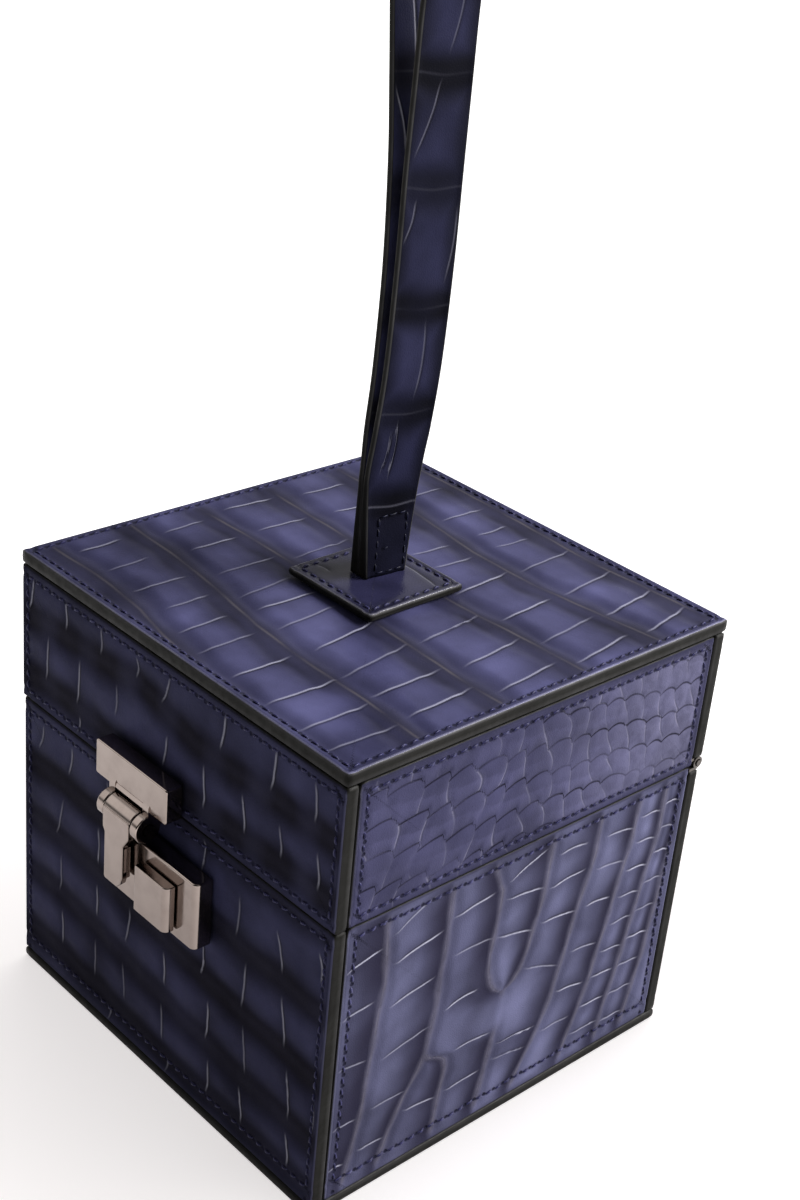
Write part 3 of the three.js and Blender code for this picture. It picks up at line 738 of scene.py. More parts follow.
croc_flank = hide_finish(
    "croc_flank",
    crest=(0.0272, 0.0266, 0.0562),
    shade=(0.008, 0.008, 0.018),
    ridge=(0.078, 0.076, 0.124),
    crease=(0.13, 0.127, 0.17),
    furrow=(0.004, 0.0036, 0.009),
    gloss=0.40,
    shine=0.02,
    crease_width=0.36,
    furrow_share=0.95,
)


def flank_hide(across, up, seed):
    # Small rounded scales in rows that climb to the right and grow smaller along it.
    # The upper edge of every scale is a dark arched cut with painted shade just above it, and its sides
    # are faint pale ridges. The hide is also painted paler towards the right, as a painted highlight.
    tall = SCALE_SIZE - 0.016 * across
    climb = up - 0.085 * across + 0.8 * ripple(across, up * 0.3, seed, 30.0)
    rows = climb / tall

    def columns_in(level):
        slip = np.sin(level * 12.9898 + seed) * 43758.5453
        slip = slip - np.floor(slip)
        wander = 0.2 * ripple(across, up + level * 40, seed + 1, 15.0)
        return -np.log(SCALE_SIZE - SCALE_TAPER * (across + 0.1 * up)) / SCALE_TAPER + slip + wander

    cut = np.round(rows)
    under = columns_in(cut - 1)
    place = under - np.floor(under)
    domed = ease((across + 15) / 50)
    dome = (0.07 + 0.12 * domed) * np.sin(np.pi * place) ** 0.7
    arch = dome + 0.3 * (1 - 0.75 * domed) * (place - 0.5) - 0.07
    from_cut = rows - cut - arch
    level = np.where(from_cut > 0, cut, cut - 1)
    columns = columns_in(level)
    wide = SCALE_SIZE - SCALE_TAPER * across
    off_row = np.abs(from_cut) * tall
    off_column = np.abs(columns - np.round(columns)) * wide
    show = np.clip(0.75 + 0.45 * ripple(across, up, seed + 2, 20.0), 0.2, 1.0)
    shown = np.clip(0.55 + 0.6 * ripple(across, up, seed + 3, 13.0), 0.0, 1.0)
    puff = ease(off_row / 3.0) * ease(off_column / 2.6)
    lift = 0.2 * (puff - 1) - 0.2 * (show * hump(off_row, 0.65)) - 0.08 * (shown * hump(off_column, 0.6))
    crease = np.stack([columns, wide, 0.45 * shown], -1)
    furrow = np.stack([cut + from_cut, tall, show], -1)
    # Painted shade just above each cut; the pale share holds the side ridges and a painted highlight
    # towards the right.
    dye_and_shade_share = 0.3 * hump(np.clip(from_cut * tall, 0, None), 1.6) * show
    pale = 0.22 * shown * hump(off_column, 0.9) + 0.5 * ease((across + 14) / 66)
    return lift, dye_and_shade_share, pale, crease, furrow


for node, facing, skin, hide in (
    ("lid_front", "front", belly(lid_rows, lid_creases, FRONT_LOOK, 101), croc_bands_shaded_copy),
    ("lid_back", "back", belly(*lid_back_rows, FRONT_LOOK, 111), croc_bands_shaded_copy),
    ("lid_left", "left", lambda across, up: flank_hide(across, up, 131), croc_flank),
    ("lid_right", "right", lambda across, up: flank_hide(across, up, 121), croc_flank),
):
    sewn_board(node, facing, skin, hide, step=0.6, sewn=LID_SEWN, body="lid")

# Lid top
# One square board laid over the lid's walls, so that its painted edge shows all round.
# Rows of belly scales run from side to side across it.
TOP_SEWN = (2.0, 2.0, 2.2, 2.2)
TOP_LOOK = (0.6, 2.6, 0.75, 7.0, 0.7, 11.0, 0.95, 0.75)
top_rows = [
    [(-60, -53), (-40, -52.5), (-20, -54), (-8, -56.5), (10, -59), (60, -61)],
    [(-60, -30), (-40, -31), (-20, -33), (0, -36), (20, -37), (40, -37.5), (60, -38.5)],
    [(-60, -10), (-40, -9.5), (-20, -9.5), (0, -11), (15, -12), (30, -13), (45, -14), (60, -13.5)],
    [(-60, 13), (-40, 11.5), (-20, 11), (0, 10.5), (20, 10.5), (40, 11.5), (60, 12.5)],
    [(-60, 37), (-40, 36.5), (-20, 35.5), (0, 33), (20, 33.5), (40, 35.5), (60, 38.5)],
    [(-60, 56), (-20, 56), (20, 55), (60, 57)],
]
top_creases = [
    (-52, -48, -52, -38), (-40.3, -48, -40.3, -38), (-28.4, -49, -28, -36), (-17, -48, -17.6, -37),
    (-6.6, -52, -7, -40), (3.3, -54, 2.8, -40), (15.8, -54, 15.6, -40), (29, -55, 29, -38),
    (41, -56, 40.8, -39), (50.3, -57, 50.8, -40), (-49.5, -25, -50.3, -14), (-38.2, -25, -38.4, -13),
    (-24.6, -27, -24.8, -12), (-12.6, -30, -14, -15), (-5.4, -30, -5.2, -15), (4.2, -32, 3, -16),
    (16.5, -31, 13.5, -13), (29, -34, 26, -14), (39, -34, 38.5, -16), (49.6, -33, 48.4, -16),
    (-52.3, -4, -51.8, 9), (-38.3, -4, -38, 9), (-21.8, -6, -22.6, 10), (27, -9, 25, 9.5),
    (40.6, -8, 38.5, 9), (52.8, -9, 51, 8), (-49, 19, -48.6, 31), (-36.2, 19, -35.5, 30),
    (-22, 18, -21.5, 29), (-6.8, 19, -6.4, 30), (1.5, 19, 1.6, 30), (14, 15, 12.6, 31),
    (29.6, 15, 28.4, 30), (42.6, 15, 40.5, 32), (53.6, 15, 51.4, 32), (-47, 41, -47, 52),
    (-33, 40, -33, 52), (-17.8, 40, -17.4, 52), (-6, 41, -6.2, 50), (1.4, 40, 1.8, 50),
    (14, 37, 12.4, 54), (28.7, 37, 26.4, 54), (41.6, 38, 39, 55), (52.6, 40, 49.6, 55),
]

croc_top = hide_finish(
    "croc_top",
    crest=(0.0412, 0.0415, 0.095),
    shade=(0.0022, 0.002, 0.0045),
    ridge=(0.0065, 0.006, 0.008),
    crease=(0.19, 0.19, 0.25),
    furrow=(0.055, 0.050, 0.057),
    gloss=0.17,
    shine=0.03,
    crease_width=0.5,
    furrow_share=0.8,
    tooth=0.00003,
)
top_skin = belly(top_rows, top_creases, TOP_LOOK, 141)
sewn_board("lid_top", "top", top_skin, croc_top, step=0.62, sewn=TOP_SEWN, body="lid")

# Strap tab
# A square patch of the same hide, laid on the middle of the lid and sewn down near its edges.
# It spreads the pull of the strap, and its cut edge is painted like the boards.
TAB_SEWN = (2.1, 2.1, 2.1, 2.1)
TAB_LOOK = (0.12, 2.0, 0.3, 4.0, 0.6, 6.0, 0.6, 0.0)
tab_rows = [[(-16, -5.5), (0, -6.5), (16, -4.5)]]
tab_creases = [(9.5, -4, 8.2, 13), (-9, -13, -8, -7.5)]

croc_tab = hide_finish(
    "croc_tab",
    crest=(0.0135, 0.0132, 0.034),
    shade=(0.003, 0.003, 0.005),
    ridge=(0.010, 0.009, 0.011),
    crease=(0.08, 0.08, 0.10),
    furrow=(0.03, 0.03, 0.04),
    gloss=0.19,
    shine=0.14,
    tooth=0.00004,
)


def tab_skin(across, up):
    return banded_hide(up, across, tab_rows, tab_creases, TAB_LOOK, 151)


sewn_board(
    "strap_tab", "top", tab_skin, croc_tab, step=0.4, sewn=TAB_SEWN, body="lid"
)

# Wrist strap
# A long strip of doubled hide bent into a loop. Both ends lie together, cut narrower, and are sewn
# to the tab as a foot. The cut edges are painted black and rubbed grey along their corners.
STRAP_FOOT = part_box("wrist_strap")[0][2] / MM
STRAP_MIDDLE = 1.8
STRAP_HALF = 8.2
STRAP_THICK = 1.5
STRAP_ROUND = 0.5
STRAP_COLUMNS = 26
LEG_STATIONS = 211
LOOP_STATIONS = 36
STRAP_LOOK = (0.3, 2.0, 0.1, 7.5, 1.0, 7.0, 1.0, 0.3)
FOOT_HALF = 5.9
FOOT_RISE = 26.0
LEGS_PART = 22.0
LEG_RISE = 168.0
LOOP_MIDDLE = -0.1
LOOP_RADIUS = 8.7
AWL_HOLE = (-1.8, 7.3)
# Height above the foot, outer face of the near leg, outer face of the far leg, and twist over the width.
strap_set = np.array(
    [
        (0, 1.6, -4.3, 1.6), (12, 1.5, -3.2, 1.1), (26, 1.7, -1.6, 1.1), (38, 3.3, -1.2, 1.2),
        (54, 4.9, -0.2, 1.0), (77, 5.6, 0.2, 1.0), (100, 5.6, -0.9, 0.9), (117, 5.8, -2.8, 0.5),
        (134, 6.0, -4.9, 0.2), (152, 7.2, -7.2, 0.0), (168, 8.6, -8.8, 0.0),
    ]
)

croc_strap = hide_finish(
    "croc_strap",
    crest=(0.0097, 0.01, 0.0245),
    shade=(0.0008, 0.0008, 0.0012),
    ridge=(0.003, 0.0026, 0.003),
    crease=(0.06, 0.06, 0.078),
    furrow=(0.03, 0.03, 0.04),
    gloss=0.40,
    shine=0.015,
)
# A lighter copy of the strap's hide for its inner face, which lies in shade: painted light.
croc_strap_inner_lit_copy = hide_finish(
    "croc_strap_inner_lit_copy",
    crest=(0.026, 0.027, 0.062),
    shade=(0.003, 0.003, 0.006),
    ridge=(0.01, 0.009, 0.012),
    crease=(0.26, 0.26, 0.31),
    furrow=(0.06, 0.06, 0.075),
    gloss=0.40,
    shine=0.04,
)


def smooth_through(rows):
    # A smooth curve through every row, as close points.
    ends = np.concatenate([rows[:1], rows, rows[-1:]])
    step = np.linspace(0, 1, 30, endpoint=False)[:, None]
    parts = []
    for a, b, c, d in zip(ends[:-3], ends[1:-2], ends[2:-1], ends[3:]):
        slope_in, slope_out = (c - a) / 2, (d - b) / 2
        cube = (2 * b - 2 * c + slope_in + slope_out) * step**3
        parts.append(cube + (3 * c - 3 * b - 2 * slope_in - slope_out) * step**2 + slope_in * step + b)
    return np.concatenate(parts + [rows[-1:]])


def up_and_over(near, top, far):
    # Values along the whole strap: up the near leg, over the loop and down the far leg.
    return np.concatenate([near, top, far[::-1]])


bent = smooth_through(strap_set)
leg = np.linspace(0, LEG_RISE, LEG_STATIONS)
over = np.linspace(0, math.pi, LOOP_STATIONS)[1:-1]
leg_near, leg_far, leg_twist = (np.interp(leg, bent[:, 0], bent[:, k]) for k in (1, 2, 3))
path_x = up_and_over(leg_near, LOOP_MIDDLE + LOOP_RADIUS * np.cos(over), leg_far)
path_rise = up_and_over(leg, LEG_RISE + LOOP_RADIUS * np.sin(over), leg)
path_twist = up_and_over(leg_twist, over * 0, leg_twist)
path_run = up_and_over(leg, LEG_RISE + LOOP_RADIUS * over, 2 * LEG_RISE + LOOP_RADIUS * math.pi - leg)
doubled = (leg_near - leg_far) / 2 - 0.03
leg_thick = STRAP_THICK + (doubled - STRAP_THICK) * (1 - ease((leg - LEGS_PART) / 6))
path_thick = up_and_over(leg_thick, over * 0 + STRAP_THICK, leg_thick)
path_half = FOOT_HALF + (STRAP_HALF - FOOT_HALF) * np.clip(path_rise / FOOT_RISE, 0, 1)
go_x, go_z = np.gradient(path_x), np.gradient(path_rise)
go = np.hypot(go_x, go_z)
in_x = -go_z / go
in_z = go_x / go * ease((path_rise - 4) / 30)
loop_run = path_run[-1]


def rows_at(heights, left, middle, right):
    return [[(-9, s + left), (0, s + middle), (9, s + right)] for s in heights]


strap_rows = rows_at((18.5, 42.5, 68, 95, 119.5, 144, 168, 193, 218), 0.7, -0.4, -0.7)
strap_rows += rows_at((243, 268, 293, 320, loop_run - 18.5), -0.5, 0.4, 0.6)
strap_creases = [
    (0.85, 124.5, 3.2, 137), (-6.1, 103, -1.2, 116.8), (-7.1, 84, -4.7, 92), (5.7, 74, 7.1, 89),
    (1.2, 46.9, 1.6, 63.2), (-2.4, 26, -2.2, 39.5), (-4.6, 28, -3.6, 37), (-3, 150, -1, 163),
    (4, 173, 2, 189), (-2, 198, -4, 214), (3, 222, 4.5, 238), (-5, 247, -2.5, 263), (2, 272, 0.5, 289),
    (-3, 298, -4.5, 314), (3.5, 324, 2.5, 339),
]
lined_heights = (18, 40, 66, 92, 117, 142, 167, 190, 214, 245, 270, 296, 321, loop_run - 18)
lined_rows = rows_at(lined_heights, 0.0, 0.6, 0.0)
lined_creases = [
    (-2, 46, -3, 61), (3, 70, 2, 87), (-3, 97, -4, 112), (4, 122, 2.5, 138), (-4, 146, -3, 162),
    (2, 171, 3, 186), (-3, 194, -1, 210), (-4.3, 220, -1.6, 242), (-6.9, 249, -4.1, 263),
    (3, 274, 2, 291), (-2, 300, -3, 316),
]


def strap_outside(run, rise):
    # The outer face is darker down its sides and on its foot, which has an awl hole in it, pressed in and
    # painted dark as painted shade.
    lift, dye_and_shade_share, bare, crease, furrow = banded_hide(run, rise, strap_rows, strap_creases, STRAP_LOOK, 161)
    furrow[..., 2] = np.maximum(furrow[..., 2], 1 - ease((rise - LEGS_PART) / 3))
    hole = np.exp(-(((run - AWL_HOLE[0]) / 0.45) ** 2 + ((rise - AWL_HOLE[1]) / 0.45) ** 2))
    sides = 0.8 * ease((np.abs(run + 0.6) - 1.5) / 7.0)
    foot_shade = 0.7 * (1 - ease((rise - 17) / 2))
    dye_and_shade_share = np.maximum.reduce([dye_and_shade_share, hole, sides, foot_shade])
    return lift - 0.35 * hole, dye_and_shade_share, bare * 0.25, crease, furrow


fraction = np.linspace(-1, 1, STRAP_COLUMNS)
stations = len(path_x)
flat_half = (path_half - STRAP_ROUND)[:, None]
deep = path_thick[:, None]
outer_run = flat_half * fraction
run_at = np.repeat(path_run[:, None], STRAP_COLUMNS, 1)
outside = strap_outside(outer_run, run_at)
inside = banded_hide(-outer_run, run_at, lined_rows, lined_creases, STRAP_LOOK, 171)
soft_rim = ease((flat_half - np.abs(outer_run)) / 1.2 + 0.15)
# The section at each station, once round: outer face, painted edge, inner face, painted edge.
turn_out, turn_in = np.radians([30, 60, 90]), np.radians([0, 30, 60])
edge_out = np.concatenate([np.sin(turn_out), [1.05], np.cos(turn_in)]) * STRAP_ROUND
edge_top = np.tile((1 - np.cos(turn_out)) * STRAP_ROUND, (stations, 1))
edge_deep = np.concatenate([edge_top, deep / 2, deep - STRAP_ROUND + np.sin(turn_in) * STRAP_ROUND], 1)
across = np.concatenate([outer_run, flat_half + edge_out, -outer_run, -flat_half - edge_out[::-1]], 1)
outer_deep, inner_deep = -outside[0] * soft_rim, deep + inside[0] * soft_rim
depth = np.concatenate([outer_deep, edge_deep, inner_deep, edge_deep[:, ::-1]], 1)
strap_x = path_x[:, None] + in_x[:, None] * depth + path_twist[:, None] * across / (2 * STRAP_HALF)
strap_z = STRAP_FOOT + path_rise[:, None] + in_z[:, None] * depth
strap_points = np.stack([strap_x, STRAP_MIDDLE + across, strap_z], -1)
ring = across.shape[1]
grid = np.arange(stations * ring).reshape(stations, ring)
after = np.roll(grid, -1, 1)
strap_quads = np.stack([grid[:-1], after[:-1], after[1:], grid[1:]], -1).reshape(-1, 4)
edge_count = len(edge_out)
kind = np.repeat([0, 1, 2, 1], [STRAP_COLUMNS - 1, edge_count + 1, STRAP_COLUMNS - 1, edge_count + 1])
wrist_strap = mesh_piece(
    "wrist_strap_loop",
    strap_points.reshape(-1, 3),
    strap_quads,
    [grid[0][::-1], grid[-1]],
    [croc_strap, edge_paint, croc_strap_inner_lit_copy],
    np.concatenate([np.tile(kind, stations - 1), [1, 1]]),
    [True] * len(strap_quads) + [False, False],
)


def once_round(outer, edge, inner):
    whole = np.concatenate([outer, edge, inner, edge], 1)
    return whole.reshape(stations * ring, *whole.shape[2:])


plain = np.zeros((stations, edge_count))
plain_lines = np.zeros((stations, edge_count, 3))
edge_worn = np.tile([0.9, 0.35, 0.08, 0.03, 0.08, 0.35, 0.9], (stations, 1))
mark(wrist_strap, "dye_and_shade", once_round(outside[1], plain, inside[1]))
mark(wrist_strap, "ridge", once_round(outside[2], plain, inside[2] * 0.25))
mark(wrist_strap, "crease", once_round(outside[3], plain_lines, inside[3]))
mark(wrist_strap, "furrow", once_round(outside[4], plain_lines, inside[4]))
mark(wrist_strap, "seam", np.tile(NO_SEAM, (stations * ring, 1)))
mark(wrist_strap, "rub_and_highlight", once_round(outside[1] * 0, edge_worn, inside[1] * 0))
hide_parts("wrist_strap")
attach(wrist_strap, "lid")


def on_foot(across, rise, side):
    # Points on the outer face of the foot: side 1 is the near leg, -1 the far one.
    face = np.interp(rise, leg, leg_near if side > 0 else leg_far)
    twist = np.interp(rise, leg, leg_twist) * across / (2 * STRAP_HALF)
    return np.stack([face + twist, STRAP_MIDDLE + across, STRAP_FOOT + rise], -1)


strap_thread = thread_finish(
    "waxed_strap_thread", (0.002, 0.002, 0.006), (0.007, 0.0075, 0.018), (0.05, 0.052, 0.075)
)
# The foot's stitches as across and rise of both ends: two sides, top and bottom, and one at the awl hole.
foot_sewn = [(x, rise, x, rise + 2.2) for rise in (1.6, 4.6, 7.6, 10.6, 13.2) for x in (-3.4, 5.0)]
foot_sewn += [(x, rise, x + 2.1, rise) for x in (-3.0, -0.3, 2.4) for rise in (1.1, 15.8)]
foot_sewn += [(AWL_HOLE[0] + 0.5, AWL_HOLE[1] - 0.2, AWL_HOLE[0] + 1.7, AWL_HOLE[1] + 0.2)]
foot_sewn = np.array(foot_sewn).T
for side, label in ((1, "near"), (-1, "far")):
    starts, ends = on_foot(*foot_sewn[:2], side), on_foot(*foot_sewn[2:], side)
    outs = np.tile((float(side), 0.0, 0.0), (len(starts), 1))
    name = "wrist_strap_stitching_" + label
    sewing = stitches(name, starts, ends, outs, strap_thread, radius=0.22, lean=0.05)
    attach(sewing, "lid")

# Strip hinge
# A nickel strip hinge let into the back of the split, with its leaves on the inside of the boards.
# Its leaves and pin keep their built shape, in dull nickel painted dark as painted shade for the recess at
# the split.
hinge_nickel_shaded, hinge_shade_tree, hinge_shade_shader = new_finish("hinge_nickel_painted_dark", metallic=1.0)
hinge_mottle = noise(hinge_shade_tree, own_place(hinge_shade_tree), 300.0, 5.0)
hinge_shade_colour = blend_colour(hinge_shade_tree, hinge_mottle, (0.05, 0.045, 0.042), (0.12, 0.105, 0.097))
dress(hinge_shade_tree, hinge_shade_shader, hinge_shade_colour, ramp(hinge_shade_tree, hinge_mottle, 0.3, 0.75, 0.35, 0.55))


def plate(node, finish):
    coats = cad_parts[node].data.materials
    coats.clear()
    coats.append(finish)


for node in ("hinge_leaf_body", "hinge_leaf_lid", "hinge_pin"):
    plate(node, hinge_nickel_shaded)

# Hasp plate
# A thick nickel plate pinned to the lid's front, with two lugs under it that hold the barrel's ends.
# The pin through the barrel is riveted over and keeps its built shape.
HASP_MIDDLE = -6.85
SPLIT_HEIGHT = 80.8
PLATE_FRONT = -65.0
PLATE_BACK = -60.3
PLATE_HALF = 13.8
PLATE_TALL = 9.3
BARREL_Y = -65.3
BARREL_Z = 76.5
BARREL_RADIUS = 3.6
BARREL_BORE = 1.6
BARREL_SIDES = 48
LUG_INNER = 5.3
LUG_OUTER = 7.8
BEVEL_STEPS = 3
BEVEL_OVER = math.radians(28)
SMOOTH_UNDER = math.radians(32)
AXIS_ORDER = {"X": (2, 0, 1), "Y": (0, 2, 1), "Z": (0, 1, 2)}

nickel, nickel_tree, nickel_shader = new_finish("polished_nickel", metallic=1.0)
nickel_at = own_place(nickel_tree)
drawn_inputs = {"Vector": nickel_at, "Scale": (260.0, 260.0, 5200.0)}
drawn_at = place_node(nickel_tree, "ShaderNodeMapping", drawn_inputs)
hairline = noise(nickel_tree, drawn_at.outputs[0], 1.0, 4.0)
haze = noise(nickel_tree, nickel_at, 240.0, 5.0)
tarnish = ramp(nickel_tree, haze, 0.35, 0.75)
nickel_colour = blend_colour(nickel_tree, tarnish, (0.262, 0.219, 0.199), (0.23, 0.19, 0.172))
dress(nickel_tree, nickel_shader, nickel_colour, ramp(nickel_tree, haze, 0.3, 0.75, 0.09, 0.2))
raise_normal(nickel_tree, nickel_shader, hairline, 0.000004, 0.6)


def drawn_out(name, outline, along, start, end, rounding=0.0):
    # A solid of the outline drawn out along one axis, with its sharp edges rounded over.
    order = AXIS_ORDER[along]
    build = bmesh.new()
    rings = [[build.verts.new([(a, b, c)[i] for i in order]) for a, b in outline] for c in (start, end)]
    build.faces.new(rings[0])
    build.faces.new(rings[1][::-1])
    for i in range(len(outline)):
        j = (i + 1) % len(outline)
        build.faces.new((rings[0][i], rings[0][j], rings[1][j], rings[1][i]))
    bmesh.ops.recalc_face_normals(build, faces=build.faces)
    if rounding:
        sharp = [edge for edge in build.edges if edge.calc_face_angle(0.0) > BEVEL_OVER]
        bmesh.ops.bevel(
            build, geom=sharp, offset=rounding, segments=BEVEL_STEPS, profile=0.5, affect="EDGES"
        )
        bmesh.ops.recalc_face_normals(build, faces=build.faces)
    bmesh.ops.scale(build, vec=(MM, MM, MM), verts=build.verts)
    mesh = bpy.data.meshes.new(name)
    build.to_mesh(mesh)
    build.free()
    return set_out(name, mesh)


def welded(name, solids, cuts, node, body):
    # The solids made into one, less the cuts, with flat faces kept flat between rounded edges.
    first = solids[0]
    for other, work in [(s, "UNION") for s in solids[1:]] + [(c, "DIFFERENCE") for c in cuts]:
        step = first.modifiers.new("weld", "BOOLEAN")
        step.operation = work
        step.solver = "EXACT"
        step.object = other
    bpy.context.view_layer.update()
    mesh = bpy.data.meshes.new_from_object(first.evaluated_get(bpy.context.evaluated_depsgraph_get()))
    for used in solids + cuts:
        old = used.data
        bpy.data.objects.remove(used)
        bpy.data.meshes.remove(old)
    mesh.name = name
    mesh.polygons.foreach_set("use_smooth", [True] * len(mesh.polygons))
    mesh.set_sharp_from_angle(angle=SMOOTH_UNDER)
    mesh.materials.clear()
    mesh.materials.append(nickel)
    piece = set_out(name, mesh)
    piece.modifiers.new("even", "WEIGHTED_NORMAL").keep_sharp = True
    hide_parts(node)
    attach(piece, body)


def barrel(name, radius, start, end, rounding=0.0):
    # A round piece of the barrel, from start to end either side of the hasp's middle.
    turns = np.arange(BARREL_SIDES) * math.tau / BARREL_SIDES
    outline = [(BARREL_Y + radius * math.cos(t), BARREL_Z + radius * math.sin(t)) for t in turns]
    return drawn_out(name, outline, "X", HASP_MIDDLE + start, HASP_MIDDLE + end, rounding)


def box_outline(left, low, right, high, corner=0.0):
    # A rectangle, its corners cut to a quarter round.
    if not corner:
        return [(left, low), (right, low), (right, high), (left, high)]
    points = []
    for x, y, start in (
        (right - corner, low + corner, -90),
        (right - corner, high - corner, 0),
        (left + corner, high - corner, 90),
        (left + corner, low + corner, 180),
    ):
        for turn in np.radians(start + np.array([0.0, 22.5, 45.0, 67.5, 90.0])):
            points.append((x + corner * math.cos(turn), y + corner * math.sin(turn)))
    return points


plate_left, plate_right = HASP_MIDDLE - PLATE_HALF, HASP_MIDDLE + PLATE_HALF
plate_outline = box_outline(plate_left, SPLIT_HEIGHT, plate_right, SPLIT_HEIGHT + PLATE_TALL, 0.7)
plate_solids = [drawn_out("plate", plate_outline, "Y", PLATE_FRONT, PLATE_BACK, 0.4)]
web_outline = [
    (PLATE_FRONT - 0.35, SPLIT_HEIGHT - 4.0),
    (PLATE_BACK - 0.5, SPLIT_HEIGHT - 4.0),
    (PLATE_BACK - 0.5, SPLIT_HEIGHT + 3.0),
    (PLATE_FRONT + 0.4, SPLIT_HEIGHT + 3.0),
    (PLATE_FRONT - 0.35, SPLIT_HEIGHT + 1.4),
]
for start, end in ((-LUG_OUTER, -LUG_INNER), (LUG_INNER, LUG_OUTER)):
    web_start, web_end = start + HASP_MIDDLE + 0.12, end + HASP_MIDDLE - 0.12
    plate_solids.append(drawn_out("web", web_outline, "X", web_start, web_end))
    plate_solids.append(barrel("lug", BARREL_RADIUS, start, end, 0.35))
strip_outline = [
    (PLATE_FRONT - 0.3, SPLIT_HEIGHT + 0.35),
    (PLATE_FRONT + 0.5, SPLIT_HEIGHT + 0.35),
    (PLATE_FRONT + 0.5, SPLIT_HEIGHT + 1.5),
    (PLATE_FRONT - 0.05, SPLIT_HEIGHT + 1.5),
]
strip_left, strip_right = HASP_MIDDLE - LUG_INNER - 0.4, HASP_MIDDLE + LUG_INNER + 0.4
plate_solids.append(drawn_out("strip", strip_outline, "X", strip_left, strip_right))
welded("hasp_plate_lugged", plate_solids, [barrel("bore", BARREL_BORE, -12, 12)], "hasp_plate", "lid")
plate("hasp_pin", nickel)

# Hasp
# A nickel flap rolled over the pin at its top, narrowed below its shoulders and grooved down one edge.
# Behind its foot a boss reaches towards the lock case.
KNUCKLE_HALF = 5.0
FLAP_FRONT = -69.0
FLAP_BACK = -67.2
flap_outline = [
    (-3.8, -22.7), (0.9, -22.7), (2.4, -21.2), (3.0, -19.3), (3.0, -10.5), (5.0, -7.6), (5.0, -3.0),
    (-5.0, -3.0), (-5.0, -8.5), (-4.2, -9.8), (-4.2, -22.2),
]
flap_outline = [(HASP_MIDDLE + x, SPLIT_HEIGHT + z) for x, z in flap_outline]
boss_low, boss_high = SPLIT_HEIGHT - 20.9, SPLIT_HEIGHT - 12.0
boss_outline = box_outline(HASP_MIDDLE - 3.5, boss_low, HASP_MIDDLE + 1.8, boss_high, 0.5)
hasp_solids = [
    drawn_out("flap", flap_outline, "Y", FLAP_FRONT, FLAP_BACK, 0.28),
    barrel("knuckle", BARREL_RADIUS, -KNUCKLE_HALF, KNUCKLE_HALF, 0.2),
    drawn_out("boss", boss_outline, "Y", FLAP_BACK - 0.5, FLAP_BACK + 1.6, 0.2),
]
groove_outline = box_outline(FLAP_FRONT + 0.45, SPLIT_HEIGHT - 18.7, FLAP_BACK - 0.45, SPLIT_HEIGHT - 11.2)
hasp_cuts = [
    barrel("bore", BARREL_BORE, -9, 9),
    drawn_out("groove", groove_outline, "X", HASP_MIDDLE + 2.5, HASP_MIDDLE + 4.0),
]
welded("hasp_flap", hasp_solids, hasp_cuts, "hasp", "hasp")

# Slide lock
# A shallow nickel case on the body's front with a thumb block that slides to the right on it.
# The block's stem runs in a slot behind it. Both have their outer edges well rounded.
CASE_FRONT = -65.1
CASE_BACK = -60.0
CASE_LEFT = -15.3
CASE_RIGHT = 19.1
CASE_LOW = 53.1
CASE_HIGH = 71.3
BLOCK_FRONT = -68.2
BLOCK_BACK = -65.4
BLOCK_LEFT = -0.2
BLOCK_RIGHT = 12.1
BLOCK_LOW = 55.0
BLOCK_HIGH = 67.4
STEM_LEFT = 0.6
STEM_WIDE = 6.2
STEM_TALL = 5.0
STEM_ROOM = 0.3
SLIDE_TRAVEL = 4.0


def round_fronted(left, right, front, back, left_round, right_round):
    # A block's section from above, its two front corners rounded.
    points = [(left, back)]
    for edge, inward, radius, start in ((left, 1, left_round, 180), (right, -1, right_round, 270)):
        for turn in (math.radians(start + 90 * k / 6) for k in range(7)):
            x = edge + radius * (inward + math.cos(turn))
            points.append((x, front + radius * (1 + math.sin(turn))))
    return points + [(right, back)]


stem_z = (BLOCK_LOW + BLOCK_HIGH) / 2
stem_right = STEM_LEFT + STEM_WIDE
stem_low, stem_high = stem_z - STEM_TALL / 2, stem_z + STEM_TALL / 2
case_section = round_fronted(CASE_LEFT, CASE_RIGHT, CASE_FRONT, CASE_BACK, 1.2, 1.7)
case = drawn_out("case", case_section, "Z", CASE_LOW, CASE_HIGH, 0.45)
slot_right = stem_right + STEM_ROOM + SLIDE_TRAVEL
slot_outline = box_outline(STEM_LEFT - STEM_ROOM, stem_low - STEM_ROOM, slot_right, stem_high + STEM_ROOM)
slot_cut = drawn_out("slot", slot_outline, "Y", CASE_FRONT - 1.0, CASE_FRONT + 2.7)
welded("lock_case_rounded", [case], [slot_cut], "lock_case", "case")

block_section = round_fronted(BLOCK_LEFT, BLOCK_RIGHT, BLOCK_FRONT, BLOCK_BACK, 0.5, 1.7)
block = drawn_out("block", block_section, "Z", BLOCK_LOW, BLOCK_HIGH, 0.3)
stem_outline = box_outline(STEM_LEFT, stem_low, stem_right, stem_high)
stem = drawn_out("stem", stem_outline, "Y", BLOCK_BACK - 0.5, BLOCK_BACK + 2.4)
welded("lock_slide_rounded", [block, stem], [], "lock_slide", "slide")

